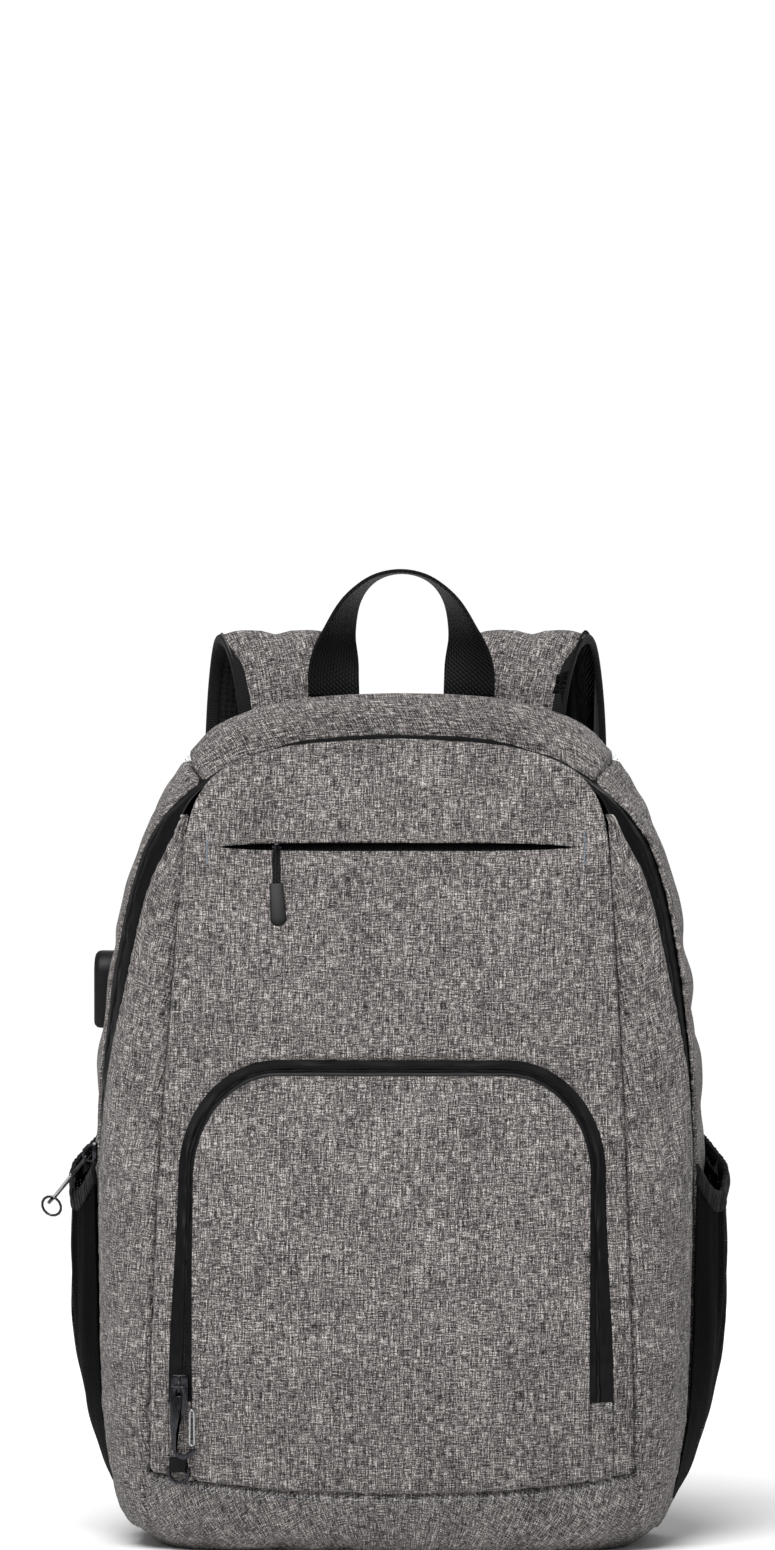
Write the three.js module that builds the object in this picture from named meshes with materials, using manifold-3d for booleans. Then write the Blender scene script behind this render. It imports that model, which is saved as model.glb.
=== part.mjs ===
// A day backpack with clasping zip heads, standing on its base.
// Millimetres, +Z up, the front of the bag faces -Y. The origin lies on the floor, in the middle of the base.
import * as THREE from "three";
import { mergeVertices } from "three/addons/utils/BufferGeometryUtils.js";
import Module from "manifold-3d";

const wasm = await Module();
wasm.setup();

// Size of the whole bag
const bodyHeight = 461;
const halfWidth = 163;
const frontReach = 97;
const backReach = 85;

// Cloth and gaps
const clothWall = 2.2;
const backPadding = 8;
const seamGap = 0.3;
const fitGap = 0.4;
const seamWidth = 10;

// Zips
const mainTapeWidth = 18;
const tapeSunk = 0.8;
const tapeThick = 1.2;
const archHalfWidth = 118.5;
const archHeight = 263;
const archCornerWide = 55;
const archCornerHigh = 60;
const archLegWidth = 13;
const archTopWidth = 10;
const archLegEnd = 81.5;
const slashHeight = 376;
const slashHalfWidth = 99;
const slashOpen = 5.2;
const slashTape = 14;

// Seams
const bandHeight = 33;
const bandRise = 11;
const panelHalfWidth = 131;
const panelTopHalfWidth = 113;
const panelTopHeight = 408;

// Stretch mesh pockets
const pocketHeight = 219;
const pocketBulge = 18;
const pocketMesh = 1.2;
const hemHeight = 9;
const hemThick = 2.2;

// Haul handle
const handleWidth = 28;
const handleThick = 2.4;
const handleHalfSpan = 37;
const handleRise = 68;
const handleLean = 4;

// Shoulder straps
const strapWidth = 64;
const strapThick = 9;
const strapSet = 50;
const webbingWidth = 25;
const webbingThick = 1.6;
const lockWidth = 34;
const lockLength = 22;
const lockThick = 3;
const lockBar = 4;
const anchorHeight = 44;
const anchorThick = 2.4;

// Charging port
const portWidth = 26;
const portHeight = 42;
const portDepth = 9;
const portFoot = 277;
const portSetBack = 42;
const socketWidth = 12.6;
const socketThick = 5.2;
const socketDepth = 14;
const portWall = 1.2;

// Clasping zip heads
const sliderWidth = 9;
const sliderLength = 11.5;
const sliderThick = 2.4;
const bridgeWire = 1.3;
const bridgeRise = 5;
const claspPlate = 9.4;
const claspLength = 38;
const claspThick = 1.6;
const claspEye = 4;
const gateWire = 1.1;
const gateLength = 19.8;
const gateWidth = 3.4;
const pocketSliderHeight = 91;
const mainSliderDrop = 8;
const ringWire = 1.5;
const sideRing = 5.6;
const dRingWidth = 13.6;
const dRingHeight = 9;
const dTabWidth = 9.7;
const dTabHeight = 8;

// Slash pocket pull
const slashSliderSide = -64;
const pullCord = 2;
const pullCordLength = 20;
const gripLength = 24.6;
const gripTop = 7;
const gripFoot = 8.7;

// Sections of the body, one row for each height: shares of bodyHeight, halfWidth, frontReach and backReach,
// and how square the front corners are.
const sections = [
  { at: 0, wide: 0.74, front: 0.62, back: 0.88, square: 3 },
  { at: 0.015, wide: 0.81, front: 0.74, back: 0.93, square: 3 },
  { at: 0.039, wide: 0.885, front: 0.83, back: 0.97, square: 3 },
  { at: 0.074, wide: 0.925, front: 0.905, back: 0.99, square: 3 },
  { at: 0.143, wide: 0.963, front: 0.98, back: 1, square: 3 },
  { at: 0.226, wide: 0.975, front: 1, back: 1, square: 3 },
  { at: 0.343, wide: 0.984, front: 0.94, back: 1, square: 3 },
  { at: 0.484, wide: 1, front: 0.75, back: 1, square: 3 },
  { at: 0.577, wide: 0.987, front: 0.59, back: 0.995, square: 3 },
  { at: 0.67, wide: 0.957, front: 0.44, back: 0.975, square: 3.2 },
  { at: 0.729, wide: 0.926, front: 0.34, back: 0.95, square: 3.5 },
  { at: 0.787, wide: 0.883, front: 0.24, back: 0.925, square: 3.9 },
  { at: 0.835, wide: 0.834, front: 0.14, back: 0.9, square: 4.2 },
  { at: 0.887, wide: 0.779, front: 0.05, back: 0.85, square: 4.5 },
  { at: 0.95, wide: 0.77, front: -0.083, back: 0.77, square: 4.5 },
  { at: 1.03, wide: 0.765, front: -0.2, back: 0.66, square: 4.5 },
];
const backSquare = 6;

// Beyond every face of the bag, for cutting
const far = 3 * halfWidth;

// Top of the bag: how far it falls from the crown, as a share of bodyHeight, towards the sides (shares of
// halfWidth) and from front to back (shares of backReach, with the valley that the main zip lies in).
const sideFall = [
  { at: 0, fall: 0 },
  { at: 0.33, fall: 0.0065 },
  { at: 0.47, fall: 0.018 },
  { at: 0.6, fall: 0.035 },
  { at: 0.645, fall: 0.0455 },
  { at: 0.687, fall: 0.066 },
  { at: 0.736, fall: 0.091 },
  { at: 0.779, fall: 0.113 },
  { at: 0.834, fall: 0.148 },
  { at: 0.89, fall: 0.19 },
  { at: 1, fall: 0.3 },
];
const depthFall = [
  { at: -0.3, fall: 0.052 },
  { at: 0.09, fall: 0.05 },
  { at: 0.31, fall: 0.0475 },
  { at: 0.42, fall: 0.025 },
  { at: 0.54, fall: 0.007 },
  { at: 0.65, fall: 0 },
  { at: 0.76, fall: 0.0125 },
  { at: 0.9, fall: 0.034 },
];

// Front edge of the main zip seen from the side: shares of bodyHeight and frontReach.
const zipLine = [
  { at: 0, front: 0.216 },
  { at: 0.434, front: 0.216 },
  { at: 0.65, front: 0.155 },
  { at: 0.824, front: 0.045 },
  { at: 0.868, front: -0.01 },
  { at: 0.9, front: -0.03 },
  { at: 0.922, front: -0.052 },
  { at: 0.94, front: -0.075 },
  { at: 0.95, front: -0.088 },
  { at: 1.1, front: -0.088 },
];

// Smooth curve through the rows of a table.
function read(table, column, at) {
  const last = table.length - 1;
  if (at <= table[0].at) return table[0][column];
  if (at >= table[last].at) return table[last][column];
  let i = 0;
  while (table[i + 1].at < at) i += 1;
  const slope = (k) => {
    const a = table[Math.max(k - 1, 0)];
    const b = table[Math.min(k + 1, last)];
    const here = table[k][column];
    if ((here - a[column]) * (b[column] - here) <= 0) return 0;
    return (b[column] - a[column]) / (b.at - a.at);
  };
  const step = table[i + 1].at - table[i].at;
  const t = (at - table[i].at) / step;
  const p = table[i][column];
  const q = table[i + 1][column];
  const m = slope(i) * step;
  const n = slope(i + 1) * step;
  const t2 = t * t;
  const t3 = t2 * t;
  return (2 * t3 - 3 * t2 + 1) * p + (t3 - 2 * t2 + t) * m + (3 * t2 - 2 * t3) * q + (t3 - t2) * n;
}

const mix = (a, b, t) => a + (b - a) * t;
const clamp01 = (t) => Math.min(Math.max(t, 0), 1);

// Size of one horizontal section of the body, drawn in by inset.
function section(z, inset = 0) {
  const at = z / bodyHeight;
  const front = -read(sections, "front", at) * frontReach + inset;
  const back = read(sections, "back", at) * backReach - inset;
  const middle = mix(front, back, 0.55);
  return {
    half: read(sections, "wide", at) * halfWidth - inset,
    front,
    back,
    middle,
    square: read(sections, "square", at),
  };
}

// Height of the top surface above the plan point x, y.
function topHeight(x, y, inset = 0) {
  const side = Math.abs(x) / halfWidth;
  const fade = 1 - 0.5 * clamp01((side - 0.69) / 0.17);
  const fall = read(sideFall, "fall", side) + fade * read(depthFall, "fall", y / backReach);
  return bodyHeight * (1 - fall) - inset;
}

// Point of the wall at height z in the direction turn, which goes round the bag.
function wallPoint(turn, z, inset = 0) {
  const s = section(z, inset);
  const c = Math.cos(turn);
  const d = Math.sin(turn);
  const square = d < 0 ? s.square : backSquare;
  const half = d < 0 ? s.middle - s.front : s.back - s.middle;
  const x = s.half * Math.sign(c) * Math.abs(c) ** (2 / square);
  const y = s.middle + half * Math.sign(d) * Math.abs(d) ** (2 / square);
  return [x, y];
}

// Half width of the body at depth y and height z.
function sideAt(y, z) {
  const s = section(z);
  const square = y < s.middle ? s.square : backSquare;
  const half = y < s.middle ? s.middle - s.front : s.back - s.middle;
  const share = Math.min(Math.abs(y - s.middle) / half, 0.999);
  return s.half * (1 - share ** square) ** (1 / square);
}

// Depth of the front face and of the back face at side x and height z.
function frontAt(x, z) {
  const s = section(z);
  const share = Math.min(Math.abs(x) / s.half, 0.999);
  return s.middle - (s.middle - s.front) * (1 - share ** s.square) ** (1 / s.square);
}
function backAt(x, z) {
  const s = section(z);
  const share = Math.min(Math.abs(x) / s.half, 0.999);
  return s.middle + (s.back - s.middle) * (1 - share ** backSquare) ** (1 / backSquare);
}

// Height at which the wall in the direction turn meets the top surface.
function rimHeight(turn, inset) {
  let low = 0.6 * bodyHeight;
  let high = 1.03 * bodyHeight;
  for (let i = 0; i < 40; i += 1) {
    const z = (low + high) / 2;
    const [x, y] = wallPoint(turn, z, inset);
    if (z < topHeight(x, y, inset)) low = z;
    else high = z;
  }
  return (low + high) / 2;
}

// Solids and geometries
function solidOf(geometry) {
  const bare = geometry.index ? geometry.toNonIndexed() : geometry.clone();
  bare.deleteAttribute("normal");
  bare.deleteAttribute("uv");
  const merged = mergeVertices(bare, 1e-4);
  return new wasm.Manifold(
    new wasm.Mesh({
      numProp: 3,
      vertProperties: merged.attributes.position.array,
      triVerts: new Uint32Array(merged.index.array),
    }),
  );
}

function geometryOf(solid) {
  const mesh = solid.getMesh();
  const count = mesh.vertProperties.length / mesh.numProp;
  const position = new Float32Array(count * 3);
  for (let i = 0; i < count; i += 1) {
    position.set(mesh.vertProperties.subarray(i * mesh.numProp, i * mesh.numProp + 3), i * 3);
  }
  const geometry = new THREE.BufferGeometry();
  geometry.setAttribute("position", new THREE.BufferAttribute(position, 3));
  geometry.setIndex(new THREE.BufferAttribute(new Uint32Array(mesh.triVerts), 1));
  const faceted = geometry.toNonIndexed();
  faceted.computeVertexNormals();
  return faceted;
}

// The biggest of the bodies that a cut leaves.
function biggest(solid) {
  const bodies = solid.decompose();
  return bodies.reduce((a, b) => (b.volume() > a.volume() ? b : a));
}

// The closed form of the bag, drawn in by inset. A lathe gives the grid of rows and columns, and each
// grid point then moves to its place: out over the base, up the walls, and in over the top.
const columns = 32;
const baseRows = [0, 0.55];
const wallRows = [0, 0.015, 0.039, 0.08, 0.143, 0.226, 0.335, 0.45, 0.56, 0.66, 0.735];
const rimRows = [0.34, 0.67, 1];
const capRows = [0.92, 0.8, 0.66, 0.53, 0.38, 0.2, 0];
const capMiddle = 0.53;

function bagSolid(inset) {
  const rows = baseRows.length + wallRows.length + rimRows.length + capRows.length;
  const profile = [];
  for (let i = 0; i < rows; i += 1) {
    profile.push(new THREE.Vector2(i === 0 || i === rows - 1 ? 0 : 1, i));
  }
  const grid = new THREE.LatheGeometry(profile, columns);
  const position = grid.attributes.position;
  const upper = wallRows[wallRows.length - 1] * bodyHeight;
  for (let k = 0; k < position.count; k += 1) {
    const row = Math.round(position.getY(k));
    const pole = row === 0 || row === rows - 1;
    const step = Math.round((Math.atan2(position.getX(k), position.getZ(k)) / (2 * Math.PI)) * columns);
    const turn = pole ? 0 : (step / columns) * 2 * Math.PI;
    let point;
    if (row < baseRows.length) {
      const [x, y] = wallPoint(turn, 0, inset);
      const share = baseRows[row];
      const middle = section(0, inset).middle;
      point = [x * share, mix(middle, y, share), inset];
    } else if (row < baseRows.length + wallRows.length) {
      const z = wallRows[row - baseRows.length] * bodyHeight;
      const [x, y] = wallPoint(turn, z, inset);
      point = [x, y, z + inset * clamp01(1 - z / (0.1 * bodyHeight))];
    } else {
      const rim = rimHeight(turn, inset);
      const upTo = row - baseRows.length - wallRows.length;
      if (upTo < rimRows.length) {
        const z = mix(upper, rim, rimRows[upTo]);
        const [x, y] = wallPoint(turn, z, inset);
        point = [x, y, z];
      } else {
        const share = capRows[upTo - rimRows.length];
        const [x, y] = wallPoint(turn, rim, inset);
        const capX = x * share;
        const capY = mix(capMiddle * backReach, y, share);
        point = [capX, capY, topHeight(capX, capY, inset)];
      }
    }
    position.setXYZ(k, point[0], point[1], point[2]);
  }
  return solidOf(grid);
}

// Prisms for cutting: outline in X and Z run along Y, outline in Y and Z run along X, outline in X and Y
// run along Z.
function prismAlongY(outline, from = -far, to = far) {
  const shape = outline instanceof THREE.Shape ? outline : shapeOf(outline);
  const geometry = new THREE.ExtrudeGeometry(shape, {
    depth: to - from,
    bevelEnabled: false,
    curveSegments: 10,
  });
  const turn = new THREE.Matrix4().makeBasis(
    new THREE.Vector3(1, 0, 0),
    new THREE.Vector3(0, 0, 1),
    new THREE.Vector3(0, -1, 0),
  );
  geometry.applyMatrix4(turn);
  geometry.translate(0, to, 0);
  return solidOf(geometry);
}

function prismAlongX(outline, from = -far, to = far) {
  const geometry = new THREE.ExtrudeGeometry(shapeOf(outline), {
    depth: to - from,
    bevelEnabled: false,
  });
  const turn = new THREE.Matrix4().makeBasis(
    new THREE.Vector3(0, 1, 0),
    new THREE.Vector3(0, 0, 1),
    new THREE.Vector3(1, 0, 0),
  );
  geometry.applyMatrix4(turn);
  geometry.translate(from, 0, 0);
  return solidOf(geometry);
}

function shapeOf(points) {
  return new THREE.Shape(points.map(([a, b]) => new THREE.Vector2(a, b)));
}

// A sheet of cloth, webbing or padding: place gives the point for the shares u along it, v across it and
// w through it.
function sheet(stepsU, stepsV, place, stepsW = 1) {
  const box = new THREE.BoxGeometry(1, 1, 1, stepsU, stepsV, stepsW);
  const position = box.attributes.position;
  for (let k = 0; k < position.count; k += 1) {
    const u = position.getX(k) + 0.5;
    const v = position.getY(k) + 0.5;
    const w = position.getZ(k) + 0.5;
    const p = place(u, v, w);
    position.setXYZ(k, p.x, p.y, p.z);
  }
  return solidOf(box);
}

const root = new THREE.Group();
root.name = "backpack";

const looks = {
  cloth: { color: 0x77706b, roughness: 0.92, metalness: 0 },
  tape: { color: 0x18181a, roughness: 0.45, metalness: 0 },
  mesh: { color: 0x151517, roughness: 0.85, metalness: 0 },
  webbing: { color: 0x141416, roughness: 0.7, metalness: 0 },
  padding: { color: 0x6f6964, roughness: 0.92, metalness: 0 },
  plastic: { color: 0x19191b, roughness: 0.5, metalness: 0 },
  rubber: { color: 0x1b1b1d, roughness: 0.6, metalness: 0 },
  metal: { color: 0x2a2a2d, roughness: 0.32, metalness: 1 },
  wire: { color: 0x8d8f92, roughness: 0.25, metalness: 1 },
};

function add(name, solid, look) {
  const mesh = new THREE.Mesh(geometryOf(solid), new THREE.MeshStandardMaterial(looks[look]));
  mesh.name = name;
  root.add(mesh);
  return mesh;
}

// Zones of the body
const half = seamGap / 2;
const high = 1.3 * bodyHeight;

// Front edge of the main zip at height z.
const zipFront = (z) => -read(zipLine, "front", z / bodyHeight) * frontReach;
const zipHeights = zipLine.map((row) => row.at * bodyHeight);
zipHeights[0] = -bodyHeight * 0.1;

const inFrontOfZip = prismAlongX(
  [[-far, zipHeights[0]], ...zipHeights.map((z) => [zipFront(z) - half, z]), [-far, high]],
);
const zipZone = prismAlongX([
  ...zipHeights.map((z) => [zipFront(z) + half, z]),
  ...zipHeights.map((z) => [zipFront(z) + mainTapeWidth - half, z]).reverse(),
]);
const behindZip = prismAlongX(
  [
    ...zipHeights.map((z) => [zipFront(z) + mainTapeWidth + half, z]),
    [far, high],
    [far, zipHeights[0]],
  ],
);

// The back panel's seam lies seamWidth in front of the back face.
const backHeights = sections.map((row) => row.at * bodyHeight);
const backSeam = (z) => section(z).back - seamWidth;
const behindBackSeam = prismAlongX(
  [
    [backSeam(0) + half, -far],
    ...backHeights.map((z) => [backSeam(z) + half, z]),
    [backSeam(high) + half, high],
    [far, high],
    [far, -far],
  ],
);
const inFrontOfBackSeam = prismAlongX(
  [
    [-far, -far],
    [backSeam(0) - half, -far],
    ...backHeights.map((z) => [backSeam(z) - half, z]),
    [backSeam(high) - half, high],
    [-far, high],
  ],
);

// The seam of the band round the foot: lowest in the middle.
const bandSeam = [
  { side: -1, rise: 1 },
  { side: -0.84, rise: 0.6 },
  { side: -0.45, rise: 0.16 },
  { side: 0, rise: 0 },
  { side: 0.45, rise: 0.16 },
  { side: 0.84, rise: 0.6 },
  { side: 1, rise: 1 },
];
function bandLine(shift) {
  const line = bandSeam.map((row) => [
    row.side * panelHalfWidth,
    bandHeight + row.rise * bandRise + shift,
  ]);
  return [[-far, bandHeight + bandRise + shift], ...line, [far, bandHeight + bandRise + shift]];
}
const belowBand = prismAlongY([[far, -far], [-far, -far], ...bandLine(-half)].reverse());
const aboveBand = prismAlongY([...bandLine(half), [far, high], [-far, high]]);

// The front panel's outline: straight seams that lean in, and the arc at the top.
const panelSeam = (z) => mix(panelHalfWidth, panelTopHalfWidth, clamp01(z / panelTopHeight) ** 1.8);
const seamShares = [-0.2, 0, 0.25, 0.45, 0.62, 0.76, 0.88, 0.96, 1];
function panelOutline(shift) {
  const side = seamShares.map((s) => [panelSeam(s * panelTopHeight) + shift, s * panelTopHeight]);
  const top = [[panelTopHalfWidth + shift - 3, panelTopHeight + 9], [0.8 * panelTopHalfWidth, high]];
  const right = [...side, ...top];
  const left = right.map(([x, z]) => [-x, z]).reverse();
  return [...right, ...left];
}
const panelPrism = prismAlongY(panelOutline(-half));
const panelPrismWide = prismAlongY(panelOutline(half));

// The arch of the front pocket.
function archShape(side, top, cornerWide, cornerHigh, foot) {
  const shape = new THREE.Shape();
  const spring = top - cornerHigh;
  shape.moveTo(-side, foot);
  shape.lineTo(-side, spring);
  shape.absellipse(-side + cornerWide, spring, cornerWide, cornerHigh, Math.PI, Math.PI / 2, true);
  shape.absellipse(side - cornerWide, spring, cornerWide, cornerHigh, Math.PI / 2, 0, true);
  shape.lineTo(side, foot);
  return shape;
}
const archOuter = (shift) =>
  prismAlongY(
    archShape(
      archHalfWidth + shift,
      archHeight + shift,
      archCornerWide + shift,
      archCornerHigh + shift,
      -bodyHeight,
    ),
    -far,
    0,
  );
const archInner = (shift) =>
  prismAlongY(
    archShape(
      archHalfWidth - archLegWidth + shift,
      archHeight - archTopWidth + shift,
      archCornerWide - archLegWidth + 3 + shift,
      archCornerHigh - archTopWidth + shift,
      -bodyHeight,
    ),
    -far,
    0,
  );
const aboveLegEnd = prismAlongY(
  [[-far, archLegEnd + half], [far, archLegEnd + half], [far, high], [-far, high]],
);
const belowLegEnd = prismAlongY(
  [[-far, -far], [far, -far], [far, archLegEnd - half], [-far, archLegEnd - half]],
);

// Layers of the wall
const outside = bagSolid(0);
const clearOfBody = bagSolid(-fitGap);
const clothLayer = outside.subtract(bagSolid(clothWall));
const tapeLayer = bagSolid(tapeSunk).subtract(bagSolid(tapeSunk + tapeThick));
const paddedLayer = outside.subtract(bagSolid(backPadding));

// Body panels
const frontLayer = clothLayer.intersect(inFrontOfZip).intersect(aboveBand);
const rearLayer = clothLayer.intersect(behindZip).intersect(inFrontOfBackSeam).intersect(aboveBand);

const slitShape = [];
const slitSteps = 10;
for (let i = 0; i < slitSteps; i += 1) {
  const t = -1 + (2 * i) / slitSteps;
  slitShape.push([t * slashHalfWidth, slashHeight - (slashOpen / 2) * (1 - t ** 6)]);
}
for (let i = 0; i < slitSteps; i += 1) {
  const t = 1 - (2 * i) / slitSteps;
  slitShape.push([t * slashHalfWidth, slashHeight + (slashOpen / 2) * (1 - t ** 6)]);
}
const slit = prismAlongY(slitShape, -far, 0.5 * backReach);

const frontPanel = frontLayer.intersect(panelPrism).subtract(archOuter(half)).subtract(slit);
add("front_panel", biggest(frontPanel), "cloth");

const pocketPanel = frontLayer.intersect(archInner(-half));
add("pocket_panel", biggest(pocketPanel), "cloth");

const gussets = frontLayer.subtract(panelPrismWide);
const leftSide = prismAlongY([[-far, -far], [-1, -far], [-1, high], [-far, high]]);
const rightSide = prismAlongY([[1, -far], [far, -far], [far, high], [1, high]]);
add("front_gusset_left", biggest(gussets.intersect(leftSide)), "cloth");
add("front_gusset_right", biggest(gussets.intersect(rightSide)), "cloth");

const garages = frontLayer.intersect(archOuter(-half)).subtract(archInner(half)).intersect(belowLegEnd);
add("zip_garage_left", biggest(garages.intersect(leftSide)), "cloth");
add("zip_garage_right", biggest(garages.intersect(rightSide)), "cloth");

add("base_panel", biggest(clothLayer.intersect(belowBand)), "cloth");

// The shoulder seam runs from the top corner of the front panel up and out.
const shoulderFoot = [panelTopHalfWidth - 6, panelTopHeight + 2];
const shoulderLean = 0.59;
function shoulderX(z, side, shift) {
  return side * (shoulderFoot[0] + (z - shoulderFoot[1]) * shoulderLean + shift);
}
const topZone = prismAlongY([
  [shoulderX(0.85 * bodyHeight, -1, -half), 0.85 * bodyHeight],
  [shoulderX(0.85 * bodyHeight, 1, -half), 0.85 * bodyHeight],
  [shoulderX(high, 1, -half), high],
  [shoulderX(high, -1, -half), high],
]);
const sideZone = (side) =>
  prismAlongY(
    [
      [side * far, -far],
      [side * 2, -far],
      [side * 2, 0.7 * bodyHeight],
      [shoulderX(0.85 * bodyHeight, side, half), 0.85 * bodyHeight],
      [shoulderX(high, side, half), high],
      [side * far, high],
    ],
  );
add("top_gusset", biggest(rearLayer.intersect(topZone)), "cloth");
add("rear_gusset_left", biggest(rearLayer.intersect(sideZone(-1))), "cloth");
add("rear_gusset_right", biggest(rearLayer.intersect(sideZone(1))), "cloth");

const backPanel = paddedLayer.intersect(behindBackSeam).intersect(aboveBand);
add("back_panel", biggest(backPanel), "padding");

// Zip tapes
const mainTape = tapeLayer.intersect(zipZone).intersect(aboveBand);
add("main_zipper_tape", biggest(mainTape), "tape");

const pocketTape = tapeLayer
  .intersect(inFrontOfZip)
  .intersect(archOuter(-half).subtract(archInner(half)))
  .intersect(aboveLegEnd);
add("pocket_zipper_tape", biggest(pocketTape), "tape");

const slashLayer = bagSolid(clothWall + seamGap).subtract(bagSolid(clothWall + seamGap + tapeThick));
const slashBox = prismAlongY(
  [
    [-slashHalfWidth - 5, slashHeight - slashTape / 2],
    [slashHalfWidth + 5, slashHeight - slashTape / 2],
    [slashHalfWidth + 5, slashHeight + slashTape / 2],
    [-slashHalfWidth - 5, slashHeight + slashTape / 2],
  ],
  -far,
  20,
);
add("slash_zipper", biggest(slashLayer.intersect(slashBox)), "tape");

// Side pockets of stretch mesh: sewn in at the front seam, the back seam and the foot, full in the middle.
const pocketFront = -zipLine[0].front * frontReach;
const pocketBack = backReach - seamWidth - 2;
const pocketFoot = 5;
const hemLine = [
  { at: 0, rise: -0.05 },
  { at: 0.08, rise: -0.1 },
  { at: 0.2, rise: -0.13 },
  { at: 0.38, rise: -0.115 },
  { at: 0.6, rise: -0.055 },
  { at: 0.85, rise: 0.01 },
  { at: 1, rise: 0.025 },
];
const bulgeLine = [
  { at: 0, full: 0 },
  { at: 0.06, full: 0.25 },
  { at: 0.2, full: 0.66 },
  { at: 0.45, full: 0.97 },
  { at: 0.7, full: 1 },
  { at: 0.9, full: 0.93 },
  { at: 1, full: 0.8 },
];
const foldCount = 4;
const foldDeep = 1.3;

function pocketPoint(side, u, height, out) {
  const y = mix(pocketFront, pocketBack, u);
  const top = pocketHeight * (1 + read(hemLine, "rise", u));
  const z = mix(pocketFoot, top, height);
  const round = Math.sin(Math.PI * u) ** 0.75;
  const fold = foldDeep * Math.sin(2 * Math.PI * foldCount * u) * height ** 2 * Math.sin(Math.PI * u);
  const bulge = pocketBulge * round * read(bulgeLine, "full", height) + fold;
  const x = sideAt(y, Math.max(z, 0)) + fitGap + Math.max(bulge, 0) + out;
  return new THREE.Vector3(side * x, y, z);
}
const hemShare = hemHeight / pocketHeight;
for (const [name, side] of [["left", -1], ["right", 1]]) {
  const turned = (u) => (side > 0 ? u : 1 - u);
  add(
    "side_pocket_" + name,
    biggest(
      sheet(14, 6, (u, v, w) =>
        pocketPoint(side, turned(u), v * (1 - hemShare) - seamGap / pocketHeight, w * pocketMesh),
      ).subtract(clearOfBody),
    ),
    "mesh",
  );
  add(
    "pocket_hem_" + name,
    biggest(
      sheet(14, 1, (u, v, w) =>
        pocketPoint(side, turned(u), mix(1 - hemShare, 1, v), (w - 0.25) * hemThick),
      ).subtract(clearOfBody),
    ),
    "webbing",
  );
}

// A band that follows a path, in even steps or in steps that keep to the path's own points. turnAt gives
// the angle of its width from X towards Y.
function band(path, steps, width, thick, turnAt, cross = 1, even = true) {
  const curve = new THREE.CatmullRomCurve3(path, false, "centripetal");
  const frames = [];
  for (let i = 0; i <= steps; i += 1) {
    const t = i / steps;
    const point = even ? curve.getPointAt(t) : curve.getPoint(t);
    const along = even ? curve.getTangentAt(t) : curve.getTangent(t);
    const turn = turnAt(t);
    const across = new THREE.Vector3(Math.cos(turn), Math.sin(turn), 0);
    across.addScaledVector(along, -across.dot(along)).normalize();
    const through = new THREE.Vector3().crossVectors(across, along).normalize();
    frames.push({ point, across, through });
  }
  return sheet(cross, steps, (u, v, w) => {
    const f = frames[Math.round(v * steps)];
    const wide = typeof width === "function" ? width(v) : width;
    const deep = typeof thick === "function" ? thick(v, u) : thick;
    return f.point
      .clone()
      .addScaledVector(f.across, (u - 0.5) * wide)
      .addScaledVector(f.through, (w - 0.5) * deep);
  });
}

// Haul handle: the feet stand behind the crown, and the webbing turns edge on over the top.
const handleY = 0.71 * backReach;
const handleFoot = topHeight(handleHalfSpan, handleY) - 1;
const handlePath = [
  { side: 1, rise: 0 },
  { side: 1, rise: 0.22 },
  { side: 0.93, rise: 0.48 },
  { side: 0.74, rise: 0.76 },
  { side: 0.42, rise: 0.94 },
  { side: 0, rise: 1 },
];
const handlePoints = [
  ...handlePath.map((row) => [-row.side, row.rise]),
  ...handlePath
    .slice(0, -1)
    .reverse()
    .map((row) => [row.side, row.rise]),
].map(
  ([side, rise]) =>
    new THREE.Vector3(side * handleHalfSpan, handleY - handleLean * rise, handleFoot + rise * handleRise),
);
const handle = band(handlePoints, 26, handleWidth, handleThick, (t) => {
  const lift = Math.sin(Math.PI * t) ** 1.3;
  return t < 0.5 ? (lift * Math.PI) / 2 : Math.PI - (lift * Math.PI) / 2;
});
add("haul_handle", biggest(handle.subtract(clearOfBody)), "webbing");

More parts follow.
